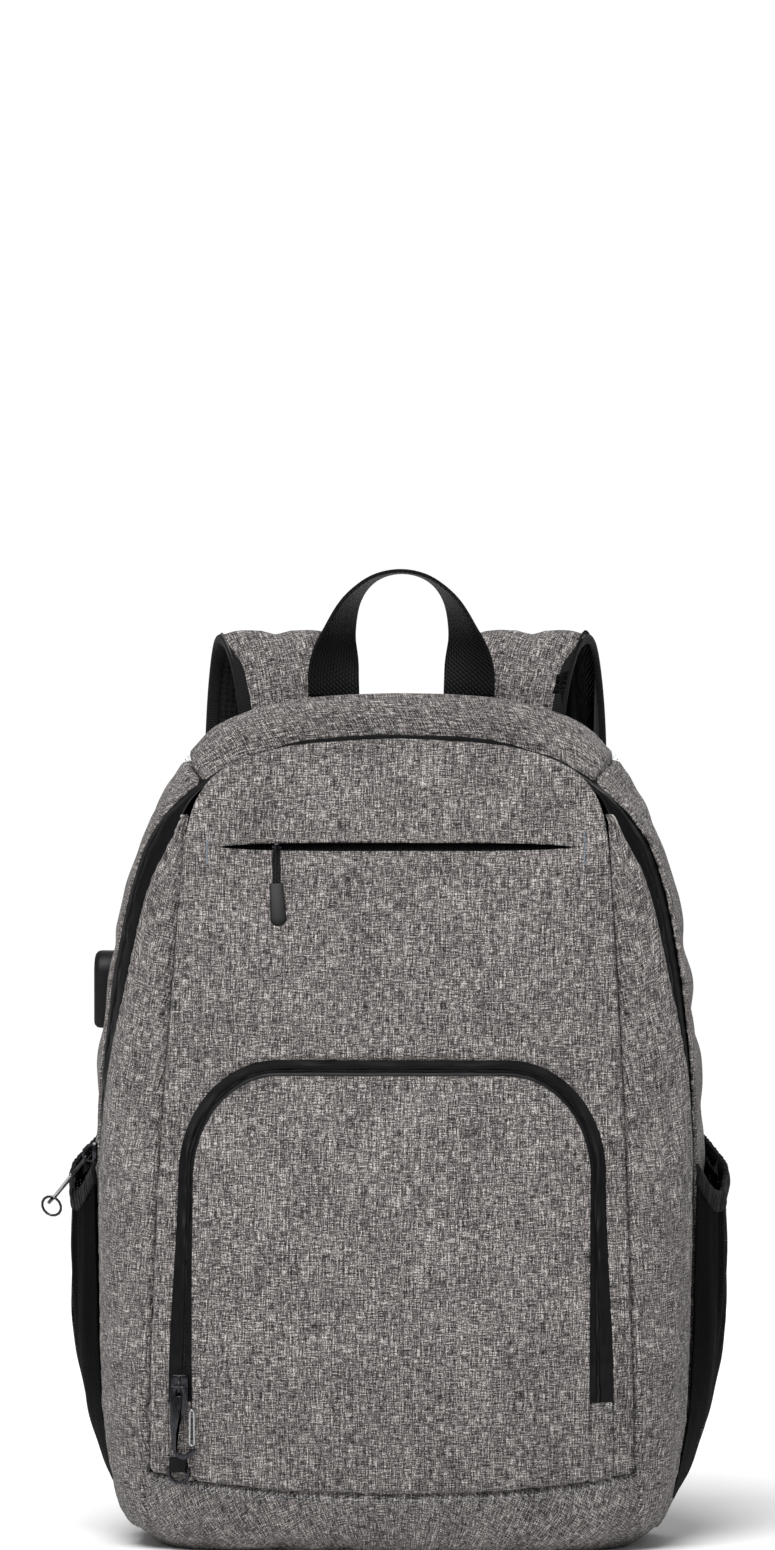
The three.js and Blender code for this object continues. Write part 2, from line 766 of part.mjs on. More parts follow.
// Shoulder straps: rows along the path, as shares of strapSet sideways, backReach back, bodyHeight up.
const strapPath = [
  { side: 1, back: 0.765, up: 0.968, wide: 1 },
  { side: 1.06, back: 0.85, up: 1.018, wide: 1 },
  { side: 1.16, back: 0.97, up: 1.052, wide: 1 },
  { side: 1.28, back: 1.14, up: 1.06, wide: 1 },
  { side: 1.38, back: 1.31, up: 1.03, wide: 1 },
  { side: 1.46, back: 1.39, up: 0.95, wide: 1 },
  { side: 1.52, back: 1.36, up: 0.82, wide: 1 },
  { side: 1.6, back: 1.32, up: 0.68, wide: 0.98 },
  { side: 1.7, back: 1.34, up: 0.53, wide: 0.92 },
  { side: 1.78, back: 1.41, up: 0.41, wide: 0.82 },
  { side: 1.82, back: 1.46, up: 0.33, wide: 0.62 },
];
for (const [name, side] of [["left", -1], ["right", 1]]) {
  const points = strapPath.map(
    (row) =>
      new THREE.Vector3(side * row.side * strapSet, row.back * backReach, row.up * bodyHeight),
  );
  const last = strapPath.length - 1;
  const wideAt = (v) => {
    const k = Math.min(Math.floor(v * last), last - 1);
    return strapWidth * mix(strapPath[k].wide, strapPath[k + 1].wide, v * last - k);
  };
  const thickAt = (v) => strapThick * Math.min(1, 0.45 + 6 * v, 0.5 + 8 * (1 - v));
  const strap = band(points, 30, wideAt, thickAt, () => 0, 2);
  add("shoulder_strap_" + name, biggest(strap.subtract(clearOfBody)), "padding");

  // Ladder lock below the padded end: three bars with two slots between them.
  const end = points[last];
  const lockTop = end.z - seamGap - 1;
  const slot = (lockLength - 3 * lockBar) / 2;
  const rectangle = (x0, x1, z0, z1) => [[x0, z0], [x1, z0], [x1, z1], [x0, z1]];
  const slotSide = lockWidth / 2 - lockBar;
  const slotHole = (z) =>
    prismAlongY(rectangle(end.x - slotSide, end.x + slotSide, z - slot, z), -far, far);
  const lock = prismAlongY(
    rectangle(end.x - lockWidth / 2, end.x + lockWidth / 2, lockTop - lockLength, lockTop),
    end.y - lockThick / 2,
    end.y + lockThick / 2,
  )
    .subtract(slotHole(lockTop - lockBar))
    .subtract(slotHole(lockTop - 2 * lockBar - slot));
  add("ladder_lock_" + name, lock, "plastic");

  // Grey tab sewn to the foot of the back, which carries the webbing.
  const tabBack = backReach + fitGap;
  const tabX = side * strapSet;
  const tabShape = [
    [2.6 * tabX, 0.62 * anchorHeight],
    [2.6 * tabX, 1.62 * anchorHeight],
    [1.92 * tabX, 1.45 * anchorHeight],
    [1.92 * tabX, 1.05 * anchorHeight],
  ];
  const tab = prismAlongY(side > 0 ? tabShape : tabShape.slice().reverse(), tabBack, tabBack + anchorThick);
  add("strap_anchor_" + name, biggest(tab.subtract(clearOfBody)), "cloth");

  // Webbing from the tab up the inner side of the lock, round its middle bar and down as a free tail.
  const barHigh = lockTop - lockBar - slot;
  const barMiddle = barHigh - lockBar / 2;
  const round = Math.hypot(lockThick / 2, lockBar / 4) + webbingThick / 2 + seamGap;
  const startY = tabBack + anchorThick + seamGap + webbingThick / 2;
  const reach = end.y - round - startY;
  const startX = 2.12 * tabX;
  const startZ = 1.12 * anchorHeight;
  const rise = barMiddle - startZ;
  const at = (x, y, z) => new THREE.Vector3(x, y, z);
  const barTurn = [180, 150, 120, 90, 60, 30, 0].map((angle) => {
    const a = (angle / 180) * Math.PI;
    const z = barHigh - lockBar / 4 + round * Math.sin(a);
    return at(end.x, end.y + round * Math.cos(a), z);
  });
  const route = [
    at(startX, startY, startZ - 6),
    at(startX, startY + 0.1, startZ + 6),
    at(mix(startX, end.x, 0.3), startY + 0.22 * reach, startZ + 0.28 * rise),
    at(mix(startX, end.x, 0.7), startY + 0.62 * reach, startZ + 0.58 * rise),
    at(mix(startX, end.x, 0.95), startY + 0.95 * reach, startZ + 0.84 * rise),
    ...barTurn,
    at(end.x, end.y + round, barMiddle - 4),
    at(end.x, end.y + round + 0.4, barHigh - lockLength),
    at(end.x + side, end.y + round + 2, mix(startZ, barHigh, 0.5)),
    at(end.x + 2 * side, end.y + round + 1, mix(startZ, barHigh, 0.2)),
    at(end.x + 2 * side, end.y + round - 1, startZ),
  ];
  add(
    "strap_webbing_" + name,
    band(route, 2 * (route.length - 1), webbingWidth, webbingThick, () => 0, 1, false),
    "webbing",
  );
}

// Charging port on the left rear gusset: a dome with a flat foot and a socket that opens downwards.
const portSide = sideAt(portSetBack, portFoot + 0.5 * portHeight);
const portRound = portDepth * 0.4;
const portShape = new THREE.Shape();
portShape.moveTo(portSetBack - portWidth / 2, portFoot);
portShape.lineTo(portSetBack + portWidth / 2, portFoot);
portShape.lineTo(portSetBack + portWidth / 2, portFoot + portHeight - portWidth / 2);
portShape.absarc(portSetBack, portFoot + portHeight - portWidth / 2, portWidth / 2, 0, Math.PI, false);
portShape.closePath();
const portBlock = new THREE.ExtrudeGeometry(portShape, {
  depth: 2 * portDepth - 2 * portRound,
  bevelEnabled: true,
  bevelThickness: portRound,
  bevelSize: portRound,
  bevelOffset: -portRound,
  bevelSegments: 3,
  curveSegments: 8,
});
portBlock.applyMatrix4(
  new THREE.Matrix4().makeBasis(
    new THREE.Vector3(0, 1, 0),
    new THREE.Vector3(0, 0, 1),
    new THREE.Vector3(1, 0, 0),
  ),
);
const portOut = -portSide - portDepth;
portBlock.translate(portOut + portRound, 0, 0);
const socketOut = portOut + portWall;
const socket = prismAlongX(
  [
    [portSetBack - socketWidth / 2, portFoot - 5],
    [portSetBack + socketWidth / 2, portFoot - 5],
    [portSetBack + socketWidth / 2, portFoot + socketDepth],
    [portSetBack - socketWidth / 2, portFoot + socketDepth],
  ],
  socketOut,
  socketOut + socketThick,
);
add("usb_port_housing", biggest(solidOf(portBlock).subtract(clearOfBody).subtract(socket)), "rubber");

// A zip slider lying in its own plane: length up, out of the cloth towards +Z, with a chamfered bridge.
const bridgeLeg = 4.2;
const bridgeChamfer = 2.6;
function sliderSolid() {
  const w = sliderWidth / 2;
  const l = sliderLength / 2;
  const plate = shapeOf([[-0.7 * w, -l], [0.7 * w, -l], [w, -0.5 * l], [w, 0.7 * l], [0.8 * w, l],
    [-0.8 * w, l], [-w, 0.7 * l], [-w, -0.5 * l]]);
  const base = new THREE.ExtrudeGeometry(plate, { depth: sliderThick, bevelEnabled: false });
  const b = bridgeWire / 2;
  const k = b * Math.tan(Math.PI / 8);
  const foot = sliderThick - 0.1;
  const rise = sliderThick + bridgeRise;
  const outer = [
    [foot, -bridgeLeg - b],
    [rise - bridgeChamfer + k, -bridgeLeg - b],
    [rise + b, -bridgeLeg + bridgeChamfer - k],
    [rise + b, bridgeLeg - bridgeChamfer + k],
    [rise - bridgeChamfer + k, bridgeLeg + b],
    [foot, bridgeLeg + b],
  ];
  const inner = [
    [foot, bridgeLeg - b],
    [rise - bridgeChamfer - k, bridgeLeg - b],
    [rise - b, bridgeLeg - bridgeChamfer - k],
    [rise - b, -bridgeLeg + bridgeChamfer + k],
    [rise - bridgeChamfer - k, -bridgeLeg + b],
    [foot, -bridgeLeg + b],
  ];
  const bridge = new THREE.ExtrudeGeometry(shapeOf([...outer, ...inner]), {
    depth: bridgeWire,
    bevelEnabled: false,
  });
  bridge.translate(0, 0, -bridgeWire / 2);
  bridge.applyMatrix4(
    new THREE.Matrix4().makeBasis(
      new THREE.Vector3(0, 0, 1),
      new THREE.Vector3(0, 1, 0),
      new THREE.Vector3(-1, 0, 0),
    ),
  );
  return solidOf(base).add(solidOf(bridge));
}

// Puts a solid from its own axes into place.
function placed(solid, across, up, out, origin) {
  const geometry = geometryOf(solid);
  geometry.applyMatrix4(new THREE.Matrix4().makeBasis(across, up, out).setPosition(origin));
  return solidOf(geometry);
}
const axisX = new THREE.Vector3(1, 0, 0);
const axisY = new THREE.Vector3(0, 1, 0);
const axisZ = new THREE.Vector3(0, 0, 1);
const opposite = (v) => v.clone().negate();
const slider = sliderSolid();

// Clasp in its own plane: the eye at the origin, the hook down, its mouth and gate on the +X side.
const claspOutline = [
  { across: -0.7, down: -0.085 },
  { across: -1, down: -0.05 },
  { across: -1, down: 0.45 },
  { across: -0.92, down: 0.62 },
  { across: -0.8, down: 0.8 },
  { across: -0.35, down: 0.9 },
  { across: 0.5, down: 0.94 },
  { across: 1.25, down: 0.915 },
  { across: 1.8, down: 0.85 },
  { across: 1.85, down: 0.77 },
  { across: 1.3, down: 0.77 },
  { across: 1.05, down: 0.83 },
  { across: 0.5, down: 0.86 },
  { across: -0.05, down: 0.83 },
  { across: -0.3, down: 0.74 },
  { across: -0.25, down: 0.57 },
  { across: 1, down: 0.2 },
  { across: 1, down: -0.05 },
  { across: 0.7, down: -0.085 },
];
const claspPoint = (row) => [(row.across * claspPlate) / 2, -row.down * claspLength];
const eyeHole = new THREE.Path();
eyeHole.absarc(0, 0, claspEye / 2, 0, 2 * Math.PI, true);
const claspShape = shapeOf(claspOutline.map(claspPoint));
claspShape.holes.push(eyeHole);
const claspBlank = new THREE.ExtrudeGeometry(claspShape, {
  depth: claspThick,
  bevelEnabled: false,
  curveSegments: 5,
});
claspBlank.translate(0, 0, -claspThick / 2);
const clasp = solidOf(claspBlank);

// Gate: a loop of wire that closes against the tip of the hook.
const gateSide = 1.45 * (claspPlate / 2);
const gateTop = -0.235 * claspLength;
const gateFoot = gateTop - gateLength + gateWidth / 2;
function gateShape(r) {
  const shape = new THREE.Shape();
  shape.moveTo(gateSide + r, gateTop - gateWidth / 2);
  shape.absarc(gateSide, gateTop - gateWidth / 2, r, 0, Math.PI, false);
  shape.lineTo(gateSide - r, gateFoot);
  shape.absarc(gateSide, gateFoot, r, Math.PI, 2 * Math.PI, false);
  shape.closePath();
  return shape;
}
const gateOutline = gateShape(gateWidth / 2);
gateOutline.holes.push(new THREE.Path(gateShape(gateWidth / 2 - gateWire).getPoints(3).reverse()));
const gateBlank = new THREE.ExtrudeGeometry(gateOutline, {
  depth: gateWire,
  bevelEnabled: false,
  curveSegments: 3,
});
gateBlank.translate(0, 0, -gateWire / 2);
const gate = solidOf(gateBlank);

// Pocket slider at the end of the left leg, with its clasp hanging straight down from the lower leg of the
// bridge.
const legMiddle = archHalfWidth - archLegWidth / 2;
const pocketTapeFront = frontAt(legMiddle - sliderWidth / 2, pocketSliderHeight) + tapeSunk + 0.6;
const pocketSliderAt = new THREE.Vector3(-legMiddle, pocketTapeFront - fitGap, pocketSliderHeight);
add("pocket_slider", placed(slider, axisX, axisZ, opposite(axisY), pocketSliderAt), "metal");
const eyeUp = 0.35 * bridgeChamfer;
const eyeOut = sliderThick + bridgeRise - bridgeChamfer + eyeUp;
const pocketEye = pocketSliderAt
  .clone()
  .add(new THREE.Vector3(0, -eyeOut, eyeUp - bridgeLeg));
add("pocket_clasp_body", placed(clasp, axisX, axisZ, opposite(axisY), pocketEye), "metal");
add("pocket_clasp_gate", placed(gate, axisX, axisZ, opposite(axisY), pocketEye), "wire");

// Main slider on the left side, with its clasp held out and down over the hem of the mesh pocket.
const mainSliderHeight = pocketHeight - mainSliderDrop;
const mainSliderY = zipFront(mainSliderHeight) + mainTapeWidth / 2;
const mainTapeSide = sideAt(mainSliderY, mainSliderHeight) - tapeSunk;
const mainSliderAt = new THREE.Vector3(-mainTapeSide - fitGap, mainSliderY, mainSliderHeight);
add("main_slider", placed(slider, opposite(axisY), axisZ, opposite(axisX), mainSliderAt), "metal");
const claspDown = new THREE.Vector3(-0.56, 0.48, -0.67).normalize();
const claspOut = new THREE.Vector3(-1, 0, 1);
claspOut.addScaledVector(claspDown, -claspOut.dot(claspDown)).normalize();
const claspUp = opposite(claspDown);
const claspAcross = new THREE.Vector3().crossVectors(claspUp, claspOut).normalize();
const chamferMiddle = sliderThick + bridgeRise - bridgeChamfer / 2;
const mainEye = mainSliderAt
  .clone()
  .add(new THREE.Vector3(-chamferMiddle, 0, -bridgeLeg + bridgeChamfer / 2));
add("main_clasp_body", placed(clasp, claspAcross, claspUp, claspOut, mainEye), "metal");
add("main_clasp_gate", placed(gate, claspAcross, claspUp, claspOut, mainEye), "wire");

// Small ring that the main clasp's hook is clipped to.
const ringPlaneY = new THREE.Vector3()
  .addScaledVector(claspOut, -0.35)
  .addScaledVector(claspDown, 0.94)
  .normalize();
const ringNormal = claspAcross.clone();
const ringPlaneX = new THREE.Vector3().crossVectors(ringPlaneY, ringNormal).normalize();
const hookSeat = mainEye
  .clone()
  .addScaledVector(claspAcross, 0.5 * (claspPlate / 2))
  .addScaledVector(claspDown, 0.86 * claspLength - ringWire / 2 - fitGap);
const ringAt = hookSeat.clone().addScaledVector(ringPlaneY, sideRing);
const ringBlank = new THREE.TorusGeometry(sideRing, ringWire / 2, 6, 14);
add("side_ring", placed(solidOf(ringBlank), ringPlaneX, ringPlaneY, ringNormal, ringAt), "metal");

// Tab and D-ring above the band, below the pocket clasp, turned to lie along the cloth.
const tabFoot = bandHeight + bandRise + 0.5;
const ringBarZ = tabFoot + 1.8;
const tabDepth = ringWire + 2.4;
const tabMiddle = tabFoot + dTabHeight / 2;
const ringInner = frontAt(legMiddle - dRingWidth / 2, tabMiddle);
const ringOuter = frontAt(legMiddle + dRingWidth / 2, tabMiddle);
const ringAcross = new THREE.Vector3(dRingWidth, ringInner - ringOuter, 0).normalize();
const ringOut = new THREE.Vector3().crossVectors(ringAcross, axisZ);
const tabAt = new THREE.Vector3(-legMiddle, frontAt(legMiddle, tabMiddle) - fitGap, 0);
const tabBlock = prismAlongY(
  [
    [-dTabWidth / 2, tabFoot],
    [dTabWidth / 2, tabFoot],
    [dTabWidth / 2, tabFoot + dTabHeight],
    [-dTabWidth / 2, tabFoot + dTabHeight],
  ],
  -tabDepth,
  2,
);
const barHole = [0, 1, 2, 3, 4, 5, 6, 7].map((i) => {
  const a = ((i + 0.5) / 8) * 2 * Math.PI;
  const r = (ringWire / 2 + 0.35) / Math.cos(Math.PI / 8);
  return [-tabDepth / 2 + r * Math.cos(a) * 1.2, ringBarZ + r * Math.sin(a) * 1.2];
});
const tabBlank = tabBlock.subtract(prismAlongX(barHole));
const tabSolid = placed(tabBlank, ringAcross, opposite(ringOut), axisZ, tabAt).subtract(clearOfBody);
add("d_ring_tab", biggest(tabSolid), "webbing");

function dShape(grow) {
  const shape = new THREE.Shape();
  const w = dRingWidth / 2 + grow;
  const top = ringWire / 2 + grow;
  shape.moveTo(w, top);
  shape.lineTo(-w, top);
  shape.absellipse(0, top - 2 - grow, w, dRingHeight - 2 + grow, Math.PI, 2 * Math.PI, false);
  shape.closePath();
  return shape;
}
const dOutline = dShape(0);
dOutline.holes.push(new THREE.Path(dShape(-ringWire).getPoints(6).reverse()));
const dBlank = new THREE.ExtrudeGeometry(dOutline, {
  depth: ringWire,
  bevelEnabled: false,
  curveSegments: 6,
});
dBlank.translate(0, 0, -ringWire / 2);
const dRingAt = tabAt.clone().addScaledVector(ringOut, tabDepth / 2).setZ(ringBarZ);
add("d_ring", placed(solidOf(dBlank), ringAcross, axisZ, ringOut, dRingAt), "metal");

// Slash pocket slider, doubled cord and rubber grip, which lies on the sloping front.
const slashSmall = 0.44;
const slashLow = frontAt(slashSliderSide, slashHeight - 5);
const slashHigh = frontAt(slashSliderSide, slashHeight + 5);
const slashUp = new THREE.Vector3(0, slashHigh - slashLow, 10).normalize();
const slashOut = new THREE.Vector3().crossVectors(axisX, slashUp);
const slashSliderAt = new THREE.Vector3(
  slashSliderSide,
  frontAt(slashSliderSide, slashHeight),
  slashHeight,
).addScaledVector(slashOut, 1.8 * fitGap - clothWall - seamGap);
slashSliderAt.z = slashHeight;
const smallSlider = placed(
  slider,
  opposite(slashUp).multiplyScalar(slashSmall),
  axisX.clone().multiplyScalar(slashSmall),
  slashOut.clone().multiplyScalar(slashSmall),
  slashSliderAt,
);
add("slash_slider", smallSlider, "metal");
const spineAt = slashSliderAt.clone().addScaledVector(slashOut, slashSmall * (sliderThick + bridgeRise));
const cordTop = spineAt.z - slashSmall * bridgeWire - seamGap;
const lieOn = (z, thick) => frontAt(slashSliderSide, z) - fitGap - thick;
const cordFoot = cordTop - pullCordLength;
const gripThick = 5;
const cordRoute = [
  new THREE.Vector3(slashSliderSide, Math.min(spineAt.y, lieOn(cordTop, 1.3 * pullCord)), cordTop),
  new THREE.Vector3(slashSliderSide, lieOn(mix(cordTop, cordFoot, 0.35), 1.2 * pullCord), mix(cordTop, cordFoot, 0.35)),
  new THREE.Vector3(slashSliderSide + 0.4, lieOn(cordFoot, gripThick / 2), cordFoot),
];
add(
  "slash_pull_cord",
  band(cordRoute, 8, 2 * pullCord + 0.3, pullCord, (t) => (1 - t) ** 2 * 1.2),
  "webbing",
);
const gripShape = new THREE.Shape();
gripShape.moveTo(-gripTop / 2, 0);
gripShape.lineTo(-gripFoot / 2, -gripLength + gripFoot / 2);
gripShape.absarc(0, -gripLength + gripFoot / 2, gripFoot / 2, Math.PI, 2 * Math.PI, false);
gripShape.lineTo(gripTop / 2, 0);
gripShape.closePath();
const gripBlank = new THREE.ExtrudeGeometry(gripShape, {
  depth: gripThick - 2,
  bevelEnabled: true,
  bevelThickness: 1,
  bevelSize: 1,
  bevelOffset: -1,
  bevelSegments: 2,
  curveSegments: 6,
});
gripBlank.translate(0, 0, -(gripThick - 2) / 2);
const gripFootZ = cordFoot - gripLength;
const gripTopAt = new THREE.Vector3(
  slashSliderSide + 0.4,
  lieOn(cordFoot, gripThick / 2),
  cordFoot - seamGap,
);
const gripEnd = new THREE.Vector3(slashSliderSide + 2.4, lieOn(gripFootZ, gripThick / 2 + 0.4), gripFootZ);
const gripUp = gripTopAt.clone().sub(gripEnd).normalize();
const gripAcross = axisX.clone().addScaledVector(gripUp, -gripUp.x).normalize();
const gripOut = new THREE.Vector3().crossVectors(gripAcross, gripUp);
add("slash_pull_grip", placed(solidOf(gripBlank), gripAcross, gripUp, gripOut, gripTopAt), "rubber");

export default root;
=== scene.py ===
# A day backpack of heather-grey polyester with black coated zips, standing on a pale floor.
# Metres, +Z up, the front of the bag faces -Y. Sizes are named in millimetres and turned by MM.
import math

import bmesh
import bpy
import numpy as np
from mathutils import Matrix, Vector
from mathutils.bvhtree import BVHTree
from mathutils.kdtree import KDTree


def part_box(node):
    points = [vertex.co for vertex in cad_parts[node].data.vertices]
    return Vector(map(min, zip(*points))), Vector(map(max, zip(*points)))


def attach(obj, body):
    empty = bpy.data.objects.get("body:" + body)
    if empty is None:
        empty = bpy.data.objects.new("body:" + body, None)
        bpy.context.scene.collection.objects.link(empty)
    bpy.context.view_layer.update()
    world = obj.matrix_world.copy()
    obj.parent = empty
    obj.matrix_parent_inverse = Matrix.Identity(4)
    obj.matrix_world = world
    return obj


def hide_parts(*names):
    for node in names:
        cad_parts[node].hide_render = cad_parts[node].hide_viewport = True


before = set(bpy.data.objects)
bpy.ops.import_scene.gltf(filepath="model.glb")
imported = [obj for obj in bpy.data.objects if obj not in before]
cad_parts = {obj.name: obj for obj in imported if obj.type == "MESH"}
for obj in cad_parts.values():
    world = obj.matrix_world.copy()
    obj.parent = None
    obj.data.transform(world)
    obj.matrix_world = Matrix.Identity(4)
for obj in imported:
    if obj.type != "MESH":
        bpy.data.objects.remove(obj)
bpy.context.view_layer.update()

MM = 0.001

# Sizes of the bag, in millimetres
SHOULDER_ANGLE = 56.4
ARCH_HALF, ARCH_TOP = 118.5, 263
ARCH_CORNER_WIDE, ARCH_CORNER_HIGH = 55, 60
ARCH_LEG, ARCH_CROWN, ARCH_FLARE = 13, 8.5, 4.5
ARCH_LEG_END = 81.5
SLASH_HEIGHT, SLASH_HALF, SLASH_OPEN = 376, 99, 5.6
STITCH_PITCH, STITCH_LONG, STITCH_THICK = 3.2, 2.3, 0.42
CLOTH_THICK = 1.0

# Where the main zip hides behind the front panel's upper edge: from this height, over this rise
HIDDEN_FROM, HIDDEN_RISE = 392, 34
RIM_RISE, RIM_REACH = 1.5, 5
TAPE_SINK, TAPE_SINK_RIGHT = 5.0, 1.6
CROWN_TUCK, TUCK_REACH = 5.5, 8
GUSSET_LAP, GUSSET_SWELL, SWELL_REACH = 0.9, 2.6, 9

# How edges roll in, as (drop, reach) in millimetres: beside a zip, at the main zip, at the front seams,
# at the foot, at the shoulders and at the back
ZIP_EDGE, HOOP_EDGE, FRONT_SEAM = (1.0, 1.6), (1.4, 1.6), (3.2, 1.7)
FOOT_SEAM, SHOULDER_SEAM, REAR_SEAM = (2.8, 1.8), (2.6, 1.8), (2.4, 2.0)

# How far the pattern of a band's under side lies from that of its face, in metres
LINING_SHIFT = 0.2

# The cells of the cloth grids, in millimetres
CELL = 2.0

BODY_NODES = [
    "front_panel", "pocket_panel", "front_gusset_left", "front_gusset_right", "zip_garage_left",
    "zip_garage_right", "base_panel", "top_gusset", "rear_gusset_left", "rear_gusset_right",
    "back_panel", "main_zipper_tape", "pocket_zipper_tape",
]


# Reading the frame

def coordinates(mesh):
    """A mesh's points as an array."""
    flat = np.empty(len(mesh.vertices) * 3)
    mesh.vertices.foreach_get("co", flat)
    return flat.reshape(-1, 3)


def triangles(node):
    """The triangles of a CAD node, as an array of corners."""
    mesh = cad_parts[node].data
    mesh.calc_loop_triangles()
    index = np.empty(len(mesh.loop_triangles) * 3, int)
    mesh.loop_triangles.foreach_get("vertices", index)
    return coordinates(mesh)[index.reshape(-1, 3)]


def crossing(nodes, normal, point):
    """The points where the edges of one or more CAD nodes cross a plane."""
    names = [nodes] if isinstance(nodes, str) else nodes
    tris = np.concatenate([TRIANGLES[n] for n in names])
    side = (tris - np.array(point)) @ np.array(normal)
    found = []
    for a, b in ((0, 1), (1, 2), (2, 0)):
        cut = side[:, a] * side[:, b] < 0
        share = side[cut, a] / (side[cut, a] - side[cut, b])
        found.append(tris[cut, a] + (tris[cut, b] - tris[cut, a]) * share[:, None])
    return np.concatenate(found)


TRIANGLES = {name: triangles(name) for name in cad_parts}


def tree_of(*nodes):
    """A search tree over the faces of some CAD nodes."""
    tris = np.concatenate([TRIANGLES[n] for n in nodes])
    corners = tris.reshape(-1, 3).tolist()
    return BVHTree.FromPolygons(corners, np.arange(len(corners)).reshape(-1, 3).tolist())


def half_widths(node, low, high, count=90):
    """The half width of a CAD node at even heights, read from its slices."""
    rows = [(z, crossing(node, (0, 0, 1), (0, 0, z + 1e-6))) for z in np.linspace(low, high, count) * MM]
    return np.array([(z, points[:, 0].max()) for z, points in rows if len(points)]).T


def round_the_hoop(nodes, pick, centre=(0, 0, 0.25)):
    """A line along CAD nodes, read where half planes round the Y axis cross them, left foot to right."""
    line = []
    for angle in np.radians(np.arange(236, -57, -1.0)):
        out = np.array([math.cos(angle), 0, math.sin(angle)])
        points = crossing(nodes, (-out[2], 0, out[0]), centre)
        points = points[(points - np.array(centre)) @ out > 0.05]
        if len(points):
            line.append(points[pick(points)])
    line = np.array(line)
    return line[line[:, 2] > 0.0445]


# Lines and surfaces

def even(line, count):
    """A polyline's points spaced evenly along it."""
    line = np.asarray(line, float)
    run = np.concatenate([[0], np.cumsum(np.linalg.norm(np.diff(line, axis=0), axis=1))])
    wanted = np.linspace(0, run[-1], count)
    return np.stack([np.interp(wanted, run, line[:, k]) for k in range(line.shape[1])], axis=1)


def relaxed(line, rounds=6):
    """A polyline with its small steps smoothed out, and its ends kept."""
    line = np.array(line, float)
    for _ in range(rounds):
        line[1:-1] = 0.5 * line[1:-1] + 0.25 * (line[:-2] + line[2:])
    return line


def smooth_curve(points, count):
    """Even points on a smooth curve through a few given ones."""
    p = np.array(points, float)
    p = np.concatenate([[2 * p[0] - p[1]], p, [2 * p[-1] - p[-2]]])
    found = []
    for k in range(1, len(p) - 2):
        t = np.linspace(0, 1, 24, endpoint=False)[:, None]
        a, b, c, d = p[k - 1], p[k], p[k + 1], p[k + 2]
        found.append(
            0.5 * (2 * b + (c - a) * t + (2 * a - 5 * b + 4 * c - d) * t**2
                   + (3 * b - a - 3 * c + d) * t**3)
        )
    return even(np.concatenate(found + [p[-2:-1]]), count)


def ripple(run, wave, seed):
    """An uneven ripple along a seam, from -1 to 1, for a run in metres and a wave in millimetres."""
    turn = 2 * math.pi * run / (wave * MM)
    return (0.6 * np.sin(turn + 1.7 * np.sin(turn / 2.7 + seed) + seed)
            + 0.4 * np.sin(turn * 1.63 + 2.1 * np.sin(turn / 3.9 + 2 * seed)))


def roll(distance, drop, reach, swell=0.35):
    """How a sewn edge rolls in over its last few millimetres and stands up a little behind that."""
    d = distance / (reach * MM)
    return (-drop * np.exp(-d**2) + swell * drop * 0.4 * np.exp(-((d - 2.4) ** 2) / 1.6)) * MM


def cast(tree, starts, directions, away=0.25):
    """The points where rays from outside, towards the given points, meet a surface."""
    shape = starts.shape
    flat, way = starts.reshape(-1, 3), np.broadcast_to(directions, shape).reshape(-1, 3)
    found = flat.copy()
    for k in range(len(flat)):
        aim = Vector(way[k])
        hit = tree.ray_cast(Vector(flat[k]) + aim * away, -aim, 2 * away)[0]
        if hit is None:
            hit = tree.find_nearest(Vector(flat[k]))[0]
        found[k] = hit
    return found.reshape(shape)


# Pieces

def finish_piece(piece, body, materials, replaced=(), smooth=True):
    """Rides a piece on its body, gives it its materials and hides the CAD nodes it stands for."""
    for material in materials:
        piece.data.materials.append(material)
    if smooth:
        piece.data.polygons.foreach_set("use_smooth", [True] * len(piece.data.polygons))
        piece.data.update()
    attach(piece, body)
    if replaced:
        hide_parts(*replaced)
    return piece


def object_from(bm, name):
    """A new object from a bmesh."""
    mesh = bpy.data.meshes.new(name)
    bm.to_mesh(mesh)
    bm.free()
    piece = bpy.data.objects.new(name, mesh)
    bpy.context.scene.collection.objects.link(piece)
    return piece


def grid_order(mesh):
    """The shares of a fresh grid's points, and the order that sorts them into rows."""
    flat = coordinates(mesh)
    low, high = flat.min(0), flat.max(0)
    u, v = ((flat - low)[:, :2] / (high - low)[:2]).T
    return u, v, np.lexsort((np.round(u, 6), np.round(v, 6)))


def draw_pattern(mesh, places):
    """Sets where each point of a mesh lies in the flat cloth, in metres."""
    corner = np.empty(len(mesh.loops), int)
    mesh.loops.foreach_get("vertex_index", corner)
    mesh.uv_layers["cloth"].data.foreach_set("uv", places[corner].ravel())


def surface_normals(points):
    """The normals of a grid of points, in the sense of its rows and columns."""
    along_u = np.gradient(points, axis=1)
    along_v = np.gradient(points, axis=0)
    normal = np.cross(along_u, along_v)
    return normal / np.maximum(np.linalg.norm(normal, axis=2, keepdims=True), 1e-12)


def calmed(points, rounds):
    """A grid of points with the small facets of what it was cast on smoothed out, its rim kept."""
    for _ in range(rounds):
        inner = points[1:-1, 1:-1]
        beside = points[1:-1, :-2] + points[1:-1, 2:]
        ahead = points[:-2, 1:-1] + points[2:, 1:-1]
        points[1:-1, 1:-1] = 0.4 * inner + 0.15 * (beside + ahead)
        for edge in (0, -1):
            points[1:-1, edge] = 0.5 * points[1:-1, edge] + 0.25 * (points[:-2, edge] + points[2:, edge])
            points[edge, 1:-1] = 0.5 * points[edge, 1:-1] + 0.25 * (points[edge, :-2] + points[edge, 2:])
    return points


